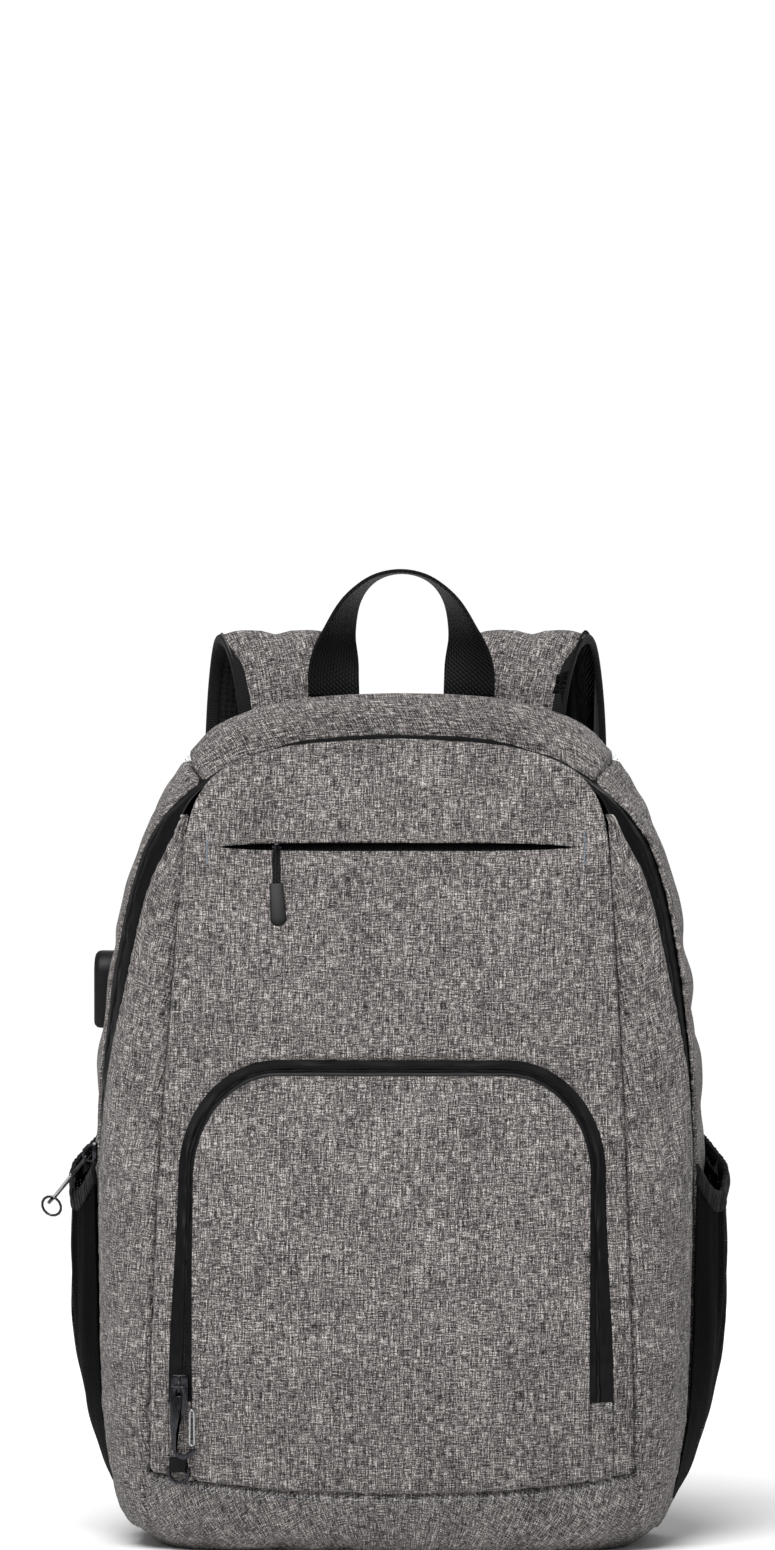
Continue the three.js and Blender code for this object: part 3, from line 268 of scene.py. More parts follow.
def runs(points):
    """The run along each row and up each column of a grid."""
    step_u = np.linalg.norm(np.diff(points, axis=1), axis=2)
    step_v = np.linalg.norm(np.diff(points, axis=0), axis=2)
    run_u = np.concatenate([np.zeros((points.shape[0], 1)), np.cumsum(step_u, axis=1)], axis=1)
    run_v = np.concatenate([np.zeros((1, points.shape[1])), np.cumsum(step_v, axis=0)], axis=0)
    return run_u, run_v


def cloth_patch(name, across, along, place, edges=None, outward=(0, 0, 0.22), flat_uv=None,
                lift=0.0, ripples=None, shape=None, calm=5):
    """A patch of cloth as a grid: place gives its points, edges how each side rolls in, as
    {side: (drop, reach)} with the sides u0, u1, v0, v1, and ripples a seam's gathers, as
    {side: (height, wave)}, all in millimetres."""
    bm = bmesh.new()
    bm.loops.layers.uv.new("cloth")
    bmesh.ops.create_grid(bm, x_segments=across, y_segments=along, size=0.5, calc_uvs=True)
    piece = object_from(bm, name)
    mesh = piece.data
    u, v, order = grid_order(mesh)
    rows, columns = along + 1, across + 1
    grid_u = u[order].reshape(rows, columns)
    grid_v = v[order].reshape(rows, columns)
    points = calmed(place(grid_u, grid_v), calm)
    normals = surface_normals(points)
    away = points - np.array(outward)
    facing = 1.0 if (normals * away).sum(2).mean() > 0 else -1.0
    normals *= facing
    run_u, run_v = runs(points)
    distance = {
        "u0": run_u, "u1": run_u[:, -1:] - run_u, "v0": run_v, "v1": run_v[-1:] - run_v,
    }
    along_edge = {"u0": run_v, "u1": run_v, "v0": run_u, "v1": run_u}
    height = np.full(points.shape[:2], lift * MM)
    for side, (drop, reach) in (edges or {}).items():
        height += roll(distance[side], drop, reach)
    for side, (deep, wave) in (ripples or {}).items():
        fade = np.exp(-distance[side] / (7 * MM))
        height += deep * MM * ripple(along_edge[side], wave, len(name)) * fade
    if shape is not None:
        height += shape(points, run_u, run_v)
    points = points + normals * height[..., None]
    middle = run_u[:, columns // 2][:, None]
    pattern = np.stack([run_u - middle, run_v], axis=2)
    if flat_uv == "rim":
        pattern = np.stack([np.broadcast_to(run_u[-1:], run_u.shape), run_v], axis=2)
    elif flat_uv is not None:
        pattern = points[..., flat_uv]
    moved, drawn = np.empty((len(u), 3)), np.empty((len(u), 2))
    moved[order] = points.reshape(-1, 3)
    drawn[order] = pattern.reshape(-1, 2)
    mesh.vertices.foreach_set("co", moved.ravel())
    draw_pattern(mesh, drawn)
    if facing < 0:
        mesh.flip_normals()
    mesh.update()
    return piece


def thicken(piece, thick=CLOTH_THICK):
    """Gives a cloth patch its wall, inwards."""
    wall = piece.modifiers.new("wall", "SOLIDIFY")
    wall.thickness = thick * MM
    wall.offset = -1
    return piece


def loft(name, line, across, width, deep, around=24, corner=0.5, crown=None):
    """A closed band along a line: across is the direction of its width, width and deep its section's
    size in metres along it, and crown an extra height for the share across and the share along."""
    steps = len(line) - 1
    bm = bmesh.new()
    bm.loops.layers.uv.new("cloth")
    bmesh.ops.create_grid(bm, x_segments=around, y_segments=steps, size=0.5, calc_uvs=True)
    piece = object_from(bm, name)
    mesh = piece.data
    u, v, _ = grid_order(mesh)
    step = np.rint(v * steps).astype(int)
    tangent = np.gradient(line, axis=0)
    tangent /= np.linalg.norm(tangent, axis=1, keepdims=True)
    side = across - tangent * (across * tangent).sum(1, keepdims=True)
    side /= np.linalg.norm(side, axis=1, keepdims=True)
    through = np.cross(side, tangent)
    turn = 2 * math.pi * u
    c, s = np.cos(turn), np.sin(turn)
    x = np.sign(c) * np.abs(c) ** corner
    y = np.sign(s) * np.abs(s) ** corner
    half_wide, half_deep = np.broadcast_to(width, steps + 1) / 2, np.broadcast_to(deep, steps + 1) / 2
    high = y * half_deep[step]
    if crown is not None:
        high = high + crown(x, y, v)
    points = line[step] + side[step] * (x * half_wide[step])[:, None] + through[step] * high[:, None]
    mesh.vertices.foreach_set("co", points.ravel())
    run = np.concatenate([[0], np.cumsum(np.linalg.norm(np.diff(line, axis=0), axis=1))])
    drawn = np.stack([x * half_wide[step] + (y < 0) * LINING_SHIFT, run[step]], axis=1)
    draw_pattern(mesh, drawn)
    bm = bmesh.new()
    bm.from_mesh(mesh)
    bmesh.ops.remove_doubles(bm, verts=bm.verts, dist=1e-6)
    bmesh.ops.holes_fill(bm, edges=bm.edges, sides=0)
    bmesh.ops.recalc_face_normals(bm, faces=bm.faces)
    if bm.calc_volume(signed=True) < 0:
        bmesh.ops.reverse_faces(bm, faces=bm.faces)
    bm.to_mesh(mesh)
    bm.free()
    return piece


def softened(name, node, width, sharp=35, segments=2):
    """A rigid CAD piece with its edges rounded as the real casting's or moulding's are."""
    bm = bmesh.new()
    bm.from_mesh(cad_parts[node].data)
    bmesh.ops.remove_doubles(bm, verts=bm.verts, dist=2e-6)
    bmesh.ops.dissolve_limit(bm, angle_limit=math.radians(2), verts=bm.verts, edges=bm.edges)
    edges = [e for e in bm.edges if e.is_manifold and e.calc_face_angle(0) > math.radians(sharp)]
    bmesh.ops.bevel(bm, geom=edges, offset=width * MM, segments=segments, profile=0.5, affect="EDGES",
                    material=-1, clamp_overlap=True)
    bmesh.ops.triangulate(bm, faces=[f for f in bm.faces if len(f.verts) > 4])
    bmesh.ops.recalc_face_normals(bm, faces=bm.faces)
    piece = object_from(bm, name)
    piece.data.polygons.foreach_set("use_smooth", [True] * len(piece.data.polygons))
    piece.data.set_sharp_from_angle(angle=math.radians(50))
    return piece


def stitches(name, lines, tree, pitch=STITCH_PITCH, long=STITCH_LONG, thick=STITCH_THICK, lift=0.2,
             turned=False, heart=(0, 0, 0.22)):
    """A row of sewn stitches along each line, lying on a surface. Turned ones lie across the line."""
    bm = bmesh.new()
    for line in lines:
        length = np.linalg.norm(np.diff(line, axis=0), axis=1).sum()
        spots = even(line, max(int(length / (pitch * MM)), 2))
        for k in range(len(spots) - 1):
            middle = Vector((spots[k] + spots[k + 1]) / 2)
            near, normal, _, _ = tree.find_nearest(middle)
            ahead = Vector(spots[k + 1] - spots[k])
            if normal.dot(near - Vector(heart)) < 0:
                normal = -normal
            ahead = (ahead - normal * ahead.dot(normal)).normalized()
            beside = normal.cross(ahead)
            if turned:
                ahead, beside = beside, -ahead
            place = Matrix((ahead, beside, normal)).transposed().to_4x4()
            place.translation = near + normal * (lift * MM)
            size = Matrix.Diagonal((long / 2 * MM, thick / 2 * MM, thick / 2 * MM, 1))
            bmesh.ops.create_icosphere(bm, subdivisions=1, radius=1, matrix=place @ size)
    piece = object_from(bm, name)
    return finish_piece(piece, "bag", [THREAD])


# Materials

def linear(hex_colour):
    """An sRGB hex colour as linear red, green, blue and alpha."""
    parts = [int(hex_colour[k : k + 2], 16) / 255 for k in (1, 3, 5)]
    return [p / 12.92 if p <= 0.04045 else ((p + 0.055) / 1.055) ** 2.4 for p in parts] + [1.0]


def add_node(tree, kind, settings=None, inputs=None):
    """Adds a shader node with its settings, its values and its links."""
    made = tree.nodes.new("ShaderNode" + kind)
    for name, value in (settings or {}).items():
        setattr(made, name, value)
    for name, value in (inputs or {}).items():
        if isinstance(value, bpy.types.NodeSocket):
            tree.links.new(value, made.inputs[name])
        else:
            made.inputs[name].default_value = value
    return made


def new_material(name, **values):
    """A material and its node tree. Plain values are set on its Principled shader's own sockets."""
    material = bpy.data.materials.new(name)
    material.use_nodes = True
    tree = material.node_tree
    for socket, value in values.items():
        tree.nodes["Principled BSDF"].inputs[socket.replace("_", " ")].default_value = value
    return material, tree


def math_node(tree, operation, a, b, c=0.0):
    return add_node(tree, "Math", {"operation": operation}, {0: a, 1: b, 2: c}).outputs[0]


def blend(tree, *rows):
    """The sum of some values, each times its share, from rows of (value, share)."""
    total = 0.0
    for value, share in rows:
        total = math_node(tree, "MULTIPLY_ADD", value, share, total)
    return total


def dressed(material, **sockets):
    """Links values to the sockets of a material's shader, and returns the material."""
    tree = material.node_tree
    for socket, value in sockets.items():
        tree.links.new(value, tree.nodes["Principled BSDF"].inputs[socket.replace("_", " ")])
    return material


def scaled(tree, source, across, along, up=None):
    """Coordinates stretched so that one unit is the given millimetres."""
    size = (1 / (across * MM), 1 / (along * MM), 1 / ((up or across) * MM))
    return add_node(tree, "Mapping", None, {"Vector": source, "Scale": size}).outputs[0]


def ramp(tree, value, stops):
    """A colour ramp with the given places and hex colours."""
    made = add_node(tree, "ValToRGB", None, {0: value})
    band = made.color_ramp
    while len(band.elements) < len(stops):
        band.elements.new(0.5)
    for element, (place, colour) in zip(band.elements, stops):
        element.position = place
        element.color = linear(colour)
    return made.outputs[0]


def noise(tree, vector, detail=2.0, rough=0.5):
    return add_node(
        tree, "TexNoise", None,
        {"Vector": vector, "Scale": 1.0, "Detail": detail, "Roughness": rough},
    ).outputs["Fac"]


def wave(tree, vector, direction, distortion=0.0):
    """Ridges one unit apart along a direction."""
    return add_node(
        tree, "TexWave",
        {"wave_type": "BANDS", "bands_direction": direction, "wave_profile": "SIN"},
        {"Vector": vector, "Scale": math.pi / 10, "Distortion": distortion, "Detail": 0.0},
    ).outputs["Fac"]


def bump(tree, height, deep, strength):
    """Relief of the given depth in millimetres."""
    return add_node(
        tree, "Bump", None, {"Height": height, "Distance": deep * MM, "Strength": strength}).outputs[0]


def mapped(tree):
    return add_node(tree, "UVMap", {"uv_map": "cloth"}).outputs[0]


def objected(tree):
    return add_node(tree, "TexCoord").outputs["Object"]


def heather_weave():
    """Heather polyester canvas, plain woven of light and dark melange yarn: uneven streaks of both
    run along and across it, and slubs show as short dark and light dashes."""
    material, tree = new_material(
        "heather_polyester_weave", Roughness=0.9, Sheen_Weight=0.06, Sheen_Roughness=0.5,
        Specular_IOR_Level=0.2)
    place = mapped(tree)
    rows = (  # width and length of the streaks in millimetres, detail, roughness and share
        (0.62, 6, 2, 0.6, 0.9), (6, 0.62, 2, 0.6, 0.9), (0.7, 0.7, 1, 0.7, 0.9), (1.0, 34, 1, 0.5, 0.3),
        (30, 30, 2, 0.5, 0.15),
    )
    streaks = [(noise(tree, scaled(tree, place, wide, long), detail, rough), share)
               for wide, long, detail, rough, share in rows]
    value = math_node(tree, "DIVIDE", blend(tree, *streaks), sum(row[-1] for row in rows))
    colour = ramp(tree, value, [
        (0.415, "#100F0F"), (0.462, "#393635"), (0.5, "#5F5B5A"), (0.538, "#85807E"),
        (0.592, "#CBC6C2")])
    yarn = scaled(tree, place, 0.8, 0.8)
    threads = math_node(tree, "MULTIPLY", wave(tree, yarn, "X"), wave(tree, yarn, "Y"))
    high = blend(tree, (value, 1.0), (threads, 0.5))
    return dressed(material, Base_Color=colour, Normal=bump(tree, high, 0.35, 0.8))


def coated_tape():
    """Zip tape of woven polyester under a polyurethane film: satin black, nearly smooth, with the faint
    lengthwise ribs of the tape showing through and fine scuffs."""
    material, tree = new_material("coated_zip_tape", Specular_IOR_Level=0.13)
    place = mapped(tree)
    ribs = wave(tree, scaled(tree, place, 1.1, 1.1), "X")
    scuff = noise(tree, scaled(tree, place, 3, 12), 4, 0.6)
    return dressed(
        material, Base_Color=ramp(tree, scuff, [(0.3, "#070708"), (0.7, "#0E0E10")]),
        Roughness=math_node(tree, "MULTIPLY_ADD", scuff, 0.3, 0.3),
        Normal=bump(tree, blend(tree, (scuff, 1.0), (ribs, 0.4)), 0.06, 0.6))


def nylon_coil():
    """Spiral zip coil of nylon monofilament: black, a little glossy, in close cross ridges."""
    material, tree = new_material("nylon_zip_coil", Roughness=0.42, Specular_IOR_Level=0.25)
    teeth = wave(tree, scaled(tree, mapped(tree), 1.3, 1.3), "Y")
    return dressed(material, Base_Color=ramp(tree, teeth, [(0.2, "#030304"), (0.8, "#151517")]),
                   Normal=bump(tree, teeth, 0.5, 1.0))


def stretch_mesh():
    """Warp-knitted stretch mesh of nylon and elastane: black, matt, with ladders of small holes that let
    light through where one layer stands clear."""
    material, tree = new_material(
        "stretch_mesh_knit", Roughness=0.8, Sheen_Weight=0.0, Specular_IOR_Level=0.05)
    place = mapped(tree)
    ladder = wave(tree, scaled(tree, place, 2.2, 2.2), "X", 0.6)
    rung = wave(tree, scaled(tree, place, 1.6, 1.6), "Y", 0.4)
    holes = math_node(tree, "MULTIPLY", ladder, rung)
    patchy = noise(tree, scaled(tree, place, 14, 40), 2, 0.5)
    gate = math_node(tree, "GREATER_THAN", blend(tree, (holes, 1.0), (patchy, 0.35)), 0.93)
    return dressed(
        material, Base_Color=ramp(tree, holes, [(0.1, "#0A0A0B"), (0.6, "#030304")]),
        Alpha=math_node(tree, "MULTIPLY_ADD", gate, -0.8, 1.0), Normal=bump(tree, holes, -0.4, 0.8))


def elastic_hem():
    """Knitted elastic turned over the pocket's mouth: black, matt, with fine upright ribs."""
    material, tree = new_material(
        "knitted_elastic", Roughness=0.8, Sheen_Weight=0.05, Specular_IOR_Level=0.15)
    place = mapped(tree)
    ribs = wave(tree, scaled(tree, place, 1.2, 1.2), "X", 0.3)
    fuzz = noise(tree, scaled(tree, place, 2, 2), 3)
    return dressed(material, Base_Color=ramp(tree, ribs, [(0.1, "#060607"), (0.9, "#131315")]),
                   Normal=bump(tree, blend(tree, (ribs, 1.0), (fuzz, 0.5)), 0.35, 0.9))


def webbing():
    """Polypropylene webbing, herringbone woven: black with a slight plastic sheen, ribs along it and
    fine picks across."""
    material, tree = new_material("polypropylene_webbing", Roughness=0.6, Specular_IOR_Level=0.16)
    place = mapped(tree)
    ribs = wave(tree, scaled(tree, place, 1.7, 1.7), "X")
    picks = wave(tree, scaled(tree, place, 1.3, 1.3), "DIAGONAL", 0.4)
    worn = noise(tree, scaled(tree, place, 8, 20), 3)
    high = blend(tree, (ribs, 0.8), (picks, 1.0))
    shade = ramp(tree, blend(tree, (high, 0.3), (worn, 0.4)), [(0.2, "#050506"), (0.75, "#131315")])
    return dressed(material, Base_Color=shade, Normal=bump(tree, high, 0.35, 0.9))


def air_mesh():
    """Polyester spacer mesh over foam: black, matt, with a honeycomb of small dimples."""
    material, tree = new_material(
        "spacer_air_mesh", Roughness=0.85, Sheen_Weight=0.04, Specular_IOR_Level=0.15)
    dimples = add_node(tree, "TexVoronoi", {"feature": "F1"}, {
        "Vector": scaled(tree, mapped(tree), 3.2, 3.2), "Scale": 1.0, "Randomness": 0.25,
    }).outputs["Distance"]
    return dressed(material, Base_Color=ramp(tree, dimples, [(0.15, "#030304"), (0.5, "#161618")]),
                   Normal=bump(tree, dimples, 0.9, 1.0))


def rubber():
    """Moulded thermoplastic rubber: black, soft satin, with the fine grain of the mould."""
    material, tree = new_material("moulded_rubber", Roughness=0.5, Specular_IOR_Level=0.22)
    place = objected(tree)
    grain = noise(tree, scaled(tree, place, 0.6, 0.6), 2)
    dust = noise(tree, scaled(tree, place, 9, 9), 4, 0.6)
    return dressed(material, Base_Color=ramp(tree, dust, [(0.3, "#09090A"), (0.75, "#121214")]),
                   Normal=bump(tree, grain, 0.05, 0.5))


def acetal():
    """Injection-moulded acetal: black, satin, with faint flow marks."""
    material, tree = new_material("moulded_acetal", Roughness=0.36, Specular_IOR_Level=0.35)
    flow = noise(tree, scaled(tree, objected(tree), 1.2, 5), 3)
    return dressed(material, Base_Color=ramp(tree, flow, [(0.3, "#0E0E0F"), (0.75, "#18181A")]),
                   Normal=bump(tree, flow, 0.05, 0.5))


def gunmetal():
    """Zinc die casting, electroplated black nickel: dark, glossy, rubbed lighter in fine scratches."""
    material, tree = new_material("black_nickel_zinc", Metallic=1.0)
    scratch = noise(tree, scaled(tree, objected(tree), 0.5, 4, 2), 4, 0.65)
    return dressed(material, Base_Color=ramp(tree, scratch, [(0.35, "#2B2B2E"), (0.7, "#4B4B4F")]),
                   Roughness=ramp(tree, scratch, [(0.3, "#7A7A7A"), (0.7, "#929292")]),
                   Normal=bump(tree, scratch, 0.03, 0.4))


def spring_wire():
    """Drawn spring steel wire, nickel plated: bright grey with drawing lines along it."""
    material, tree = new_material("nickel_spring_wire", Metallic=1.0)
    lines = noise(tree, scaled(tree, objected(tree), 0.3, 0.3, 3), 3)
    return dressed(material, Base_Color=ramp(tree, lines, [(0.3, "#8A8B8D"), (0.7, "#B9BABC")]),
                   Roughness=ramp(tree, lines, [(0.3, "#606060"), (0.7, "#808080")]))


def thread():
    """Twisted polyester sewing thread: pale blue grey with a soft sheen."""
    material, tree = new_material("polyester_thread", Roughness=0.6, Sheen_Weight=0.3)
    ply = noise(tree, scaled(tree, objected(tree), 0.4, 0.4), 2)
    return dressed(material, Base_Color=ramp(tree, ply, [(0.3, "#67707A"), (0.7, "#8D97A2")]),
                   Normal=bump(tree, ply, 0.1, 0.6))


def binding():
    """Grosgrain binding tape of polyester: black, matt, with fine ribs across it."""
    material, tree = new_material(
        "grosgrain_binding", Roughness=0.7, Sheen_Weight=0.05, Specular_IOR_Level=0.15)
    ribs = wave(tree, scaled(tree, mapped(tree), 0.9, 0.9), "Y")
    return dressed(material, Base_Color=ramp(tree, ribs, [(0.2, "#050506"), (0.85, "#141416")]),
                   Normal=bump(tree, ribs, 0.25, 0.9))


CLOTH = heather_weave()
TAPE = coated_tape()
COIL = nylon_coil()
MESH = stretch_mesh()
ELASTIC = elastic_hem()
WEBBING = webbing()
AIR_MESH = air_mesh()
RUBBER = rubber()
ACETAL = acetal()
GUNMETAL = gunmetal()
WIRE = spring_wire()
THREAD = thread()
BINDING = binding()


# Camera and light

PIXEL = 0.54 * MM
CAMERA_TURN, CAMERA_RISE = 2.3, 2.5
CAMERA_FAR = 4.2
AIM_HEIGHT = 0.235
PHOTO_WIDE, PHOTO_HIGH = 775, 1550
PHOTO_MIDDLE, PHOTO_GROUND = 397, 1543
SKY_LIGHT, SKY_SEEN = 0.24, 1.02
KEY_POWER, KEY_WIDTH, KEY_WAY = 3.7, 34, (0.14, 0.52, -0.84)


def make_camera():
    """The photograph's camera: a long lens in front, a little to the right and above."""
    data = bpy.data.cameras.new("camera")
    data.sensor_width = 36
    data.sensor_fit = "AUTO"
    high = PHOTO_HIGH * PIXEL
    data.lens = 36 * CAMERA_FAR / high
    data.shift_x = (PHOTO_WIDE / 2 - PHOTO_MIDDLE) * PIXEL / high
    data.shift_y = ((PHOTO_GROUND - PHOTO_HIGH / 2) * PIXEL - AIM_HEIGHT) / high
    camera = bpy.data.objects.new("camera", data)
    turn, rise = math.radians(CAMERA_TURN), math.radians(CAMERA_RISE)
    away = Vector((math.sin(turn) * math.cos(rise), -math.cos(turn) * math.cos(rise), math.sin(rise)))
    camera.location = Vector((0, 0, AIM_HEIGHT)) + away * CAMERA_FAR
    camera.rotation_euler = (-away).to_track_quat("-Z", "Y").to_euler()
    bpy.context.scene.collection.objects.link(camera)
    bpy.context.scene.camera = camera


def area_light(name, place, aim, size, power):
    data = bpy.data.lights.new(name, "AREA")
    data.shape = "RECTANGLE"
    data.size, data.size_y = size
    data.energy = power
    light = bpy.data.objects.new(name, data)
    light.location = place
    light.rotation_euler = (Vector(aim) - Vector(place)).to_track_quat("-Z", "Y").to_euler()
    bpy.context.scene.collection.objects.link(light)


def make_stage():
    """A pale floor, one broad soft light from the front left, weaker ones round it, a white surround."""
    bm = bmesh.new()
    bmesh.ops.create_grid(bm, x_segments=4, y_segments=4, size=6)
    floor = object_from(bm, "floor")
    material, tree = new_material("pale_floor", Roughness=0.6)
    tone = noise(tree, scaled(tree, objected(tree), 400, 400), 2)
    floor.data.materials.append(
        dressed(material, Base_Color=ramp(tree, tone, [(0.3, "#F8F8F8"), (0.7, "#FBFBFB")])))
    world = bpy.data.worlds.new("studio")
    world.use_nodes = True
    surround = world.node_tree.nodes["Background"]
    seen = add_node(world.node_tree, "LightPath").outputs["Is Camera Ray"]
    strength = math_node(world.node_tree, "MULTIPLY_ADD", seen, SKY_SEEN - SKY_LIGHT, SKY_LIGHT)
    surround.inputs["Color"].default_value = (1, 1, 1, 1)
    world.node_tree.links.new(strength, surround.inputs["Strength"])
    bpy.context.scene.world = world
    sun = bpy.data.lights.new("broad_key", "SUN")
    sun.energy, sun.angle = KEY_POWER, math.radians(KEY_WIDTH)
    key = bpy.data.objects.new("broad_key", sun)
    key.rotation_euler = Vector(KEY_WAY).to_track_quat("-Z", "Y").to_euler()
    bpy.context.scene.collection.objects.link(key)
    area_light("fill", (2.0, -1.8, 1.0), (0, 0, 0.25), (1.4, 1.4), 2)
    area_light("back", (0.4, 2.2, 1.8), (0, 0, 0.3), (1.6, 1.0), 12)
    bpy.context.scene.view_settings.view_transform = "Standard"


make_camera()
make_stage()


# Seam lines, from the frame

def mirrored(line):
    return line * np.array([-1, 1, 1])


SEAM_HEIGHTS, SEAM_HALF = half_widths("front_panel", 46, 425)
SEAM_HALF = relaxed(SEAM_HALF[:, None], 10)[:, 0]
TAPE_FRONT = relaxed(round_the_hoop("main_zipper_tape", lambda p: p[:, 1].argmin()))
TAPE_BACK = relaxed(round_the_hoop("main_zipper_tape", lambda p: p[:, 1].argmax()))
PANEL_EDGE = relaxed(round_the_hoop("front_panel", lambda p: np.hypot(p[:, 0], p[:, 2] - 0.25).argmax()))
REAR_NODES = ["rear_gusset_left", "top_gusset", "rear_gusset_right"]
BACK_SEAM = relaxed(round_the_hoop(REAR_NODES, lambda p: p[:, 1].argmax()), 10)
BAND_SIDES = np.linspace(-0.15, 0.15, 61)


def band_rise(x):
    points = crossing("base_panel", (1, 0, 0), (x, 0, 0))
    front = points[points[:, 1] < -0.01]
    return front[:, 2].max()


BAND_HEIGHTS = relaxed(np.array([band_rise(x + 1e-5) for x in BAND_SIDES])[:, None], 4)[:, 0]


def band_height(x):
    """Height of the seam above the foot band at the side x."""
    return np.interp(x, BAND_SIDES, BAND_HEIGHTS)


def seam_half(z):
    """Half width of the front panel at the height z."""
    return np.interp(z, SEAM_HEIGHTS, SEAM_HALF)


def arch(u, inner, foot=None):
    """Points of the arch of the front pocket's zip, left foot to right foot: inner is 0 for the outer
    edge of the tape and 1 for the inner edge, and foot the height where the legs start."""
    half = (ARCH_HALF - ARCH_LEG * inner) * MM
    top = (ARCH_TOP - ARCH_CROWN * inner) * MM
    wide = (ARCH_CORNER_WIDE - 10 * inner) * MM
    spring = (ARCH_TOP - ARCH_CORNER_HIGH) * MM
    low = band_height(-half) if foot is None else foot
    share = np.clip(np.minimum(u, 1 - u), 0, 0.5)
    leg = np.clip(share / 0.255, 0, 1)
    corner = np.clip((share - 0.255) / 0.144, 0, 1) * math.pi / 2
    middle = np.clip((share - 0.399) / 0.101, 0, 1)
    x = half - wide + wide * np.cos(corner) - (half - wide) * middle
    z = low + (spring - low) * leg + (top - spring) * np.sin(corner)
    taper = np.clip((z - ARCH_LEG_END * MM) / (spring - ARCH_LEG_END * MM), 0, 1)
    x = x - ARCH_FLARE * MM * (1 - inner) * taper * taper * (3 - 2 * taper) * x / half
    return np.where(u < 0.5, -x, x), z


# The closed form of the bag, which every cloth patch lies on

MIDDLE = Vector((0, 0.02, 0.22))


def bag_form():
    """A ball drawn onto the CAD panels from all sides, with the facets and seam gaps smoothed away."""
    tree = tree_of(*BODY_NODES)
    bm = bmesh.new()
    bmesh.ops.create_icosphere(bm, subdivisions=7, radius=1)
    for vert in bm.verts:
        way = vert.co.copy()
        way = Vector((way.x * 0.9, way.y * 0.55, way.z * 1.15)).normalized()
        best = 0.0
        for turn in (0.0, 0.006, -0.006):
            aim = (way + Vector((turn, turn, -turn))).normalized()
            hit = tree.ray_cast(MIDDLE + aim, -aim, 1.0)[0]
            if hit is not None:
                best = max(best, (hit - MIDDLE).length)
        vert.co = MIDDLE + way * best
    bmesh.ops.recalc_face_normals(bm, faces=bm.faces)
    form = object_from(bm, "bag_form")
    fair(form.data, 60)
    return form


def fair(mesh, rounds, push=0.5, pull=-0.512):
    """Smooths a closed mesh by turns inwards and outwards, so that it keeps its size."""
    points = coordinates(mesh)
    ends = np.empty(len(mesh.edges) * 2, int)
    mesh.edges.foreach_get("vertices", ends)
    a, b = ends.reshape(-1, 2).T
    count = np.bincount(ends, minlength=len(points))[:, None]
    for _ in range(rounds):
        for step in (push, pull):
            around = np.zeros_like(points)
            for k in range(3):
                around[:, k] = (np.bincount(a, points[b, k], len(points))
                                + np.bincount(b, points[a, k], len(points)))
            points += step * (around / count - points)
    points[:, 2] = np.maximum(points[:, 2], 0.0)
    mesh.vertices.foreach_set("co", points.ravel())
    mesh.update()


def pin_points():
    """Points on the seams, which hold while the cloth swells between them."""
    lines = [TAPE_FRONT, TAPE_BACK, BACK_SEAM]
    heights = np.linspace(0.045, 0.41, 120)
    for side in (-1, 1):
        x = side * seam_half(heights)
        lines.append(np.stack([x, np.full(120, -0.3), heights], axis=1))
    for inner in (0, 1):
        x, z = arch(np.linspace(0, 1, 300), inner)
        lines.append(np.stack([x, np.full(300, -0.3), z], axis=1))
    x = np.linspace(-0.13, 0.13, 140)
    lines.append(np.stack([x, np.full(140, -0.3), band_height(x)], axis=1))
    x = np.linspace(-SLASH_HALF, SLASH_HALF, 100) * MM
    lines.append(np.stack([x, np.full(100, -0.3), np.full(100, SLASH_HEIGHT * MM)], axis=1))
    return lines


def swell(form, pins, pressure, slack, cap, frames=18):
    """Lets the cloth of a closed form swell between its pins, and keeps each point near its place."""
    group = form.vertex_groups.new(name="pins")
    rest = coordinates(form.data)
    for index, weight in enumerate(pins):
        group.add([index], float(weight), "REPLACE")
    cloth = form.modifiers.new("swell", "CLOTH")
    for name, value in (
        ("quality", 4), ("mass", 0.25), ("tension_stiffness", 12), ("compression_stiffness", 12),
        ("shear_stiffness", 4), ("bending_stiffness", 0.6), ("vertex_group_mass", "pins"),
        ("shrink_min", -slack), ("use_pressure", True), ("uniform_pressure_force", pressure),
    ):
        setattr(cloth.settings, name, value)
    cloth.settings.effector_weights.gravity = 0
    cloth.collision_settings.use_collision = False
    scene = bpy.context.scene
    for number in range(1, frames + 1):
        scene.frame_set(number)
    shown = form.evaluated_get(bpy.context.evaluated_depsgraph_get())
    moved = coordinates(shown.data) - rest
    scene.frame_set(1)
    form.modifiers.remove(cloth)
    far = np.linalg.norm(moved, axis=1, keepdims=True)
    limit = cap * MM
    moved *= limit * np.tanh(far / limit) / np.maximum(far, 1e-9)
    form.data.vertices.foreach_set("co", (rest + moved).ravel())
    form.data.update()


def form_tree(form):
    mesh = form.data
    mesh.calc_loop_triangles()
    return BVHTree.FromPolygons(
        [v.co for v in mesh.vertices], [tuple(t.vertices) for t in mesh.loop_triangles]
    )


def pin_weights(form, hard):
    """1 on a seam or under hardware, falling to 0 some way from it."""
    tree = form_tree(form)
    lines = pin_points()
    seams = []
    for line in lines:
        for point in line:
            if point[1] < -0.29:
                hit = tree.ray_cast(Vector((point[0], -0.5, point[2])), Vector((0, 1, 0)), 1)[0]
                seams.append(hit or Vector(point))
            else:
                seams.append(tree.find_nearest(Vector(point))[0])
    near = KDTree(len(seams) + len(hard))
    for k, point in enumerate(seams + hard):
        near.insert(point, k)
    near.balance()
    weights = []
    for point in coordinates(form.data):
        _, index, distance = near.find(point)
        reach = 12 if index < len(seams) else 24
        weights.append(min(max(1.25 - distance / (reach * MM), 0.0), 1.0))
    return weights


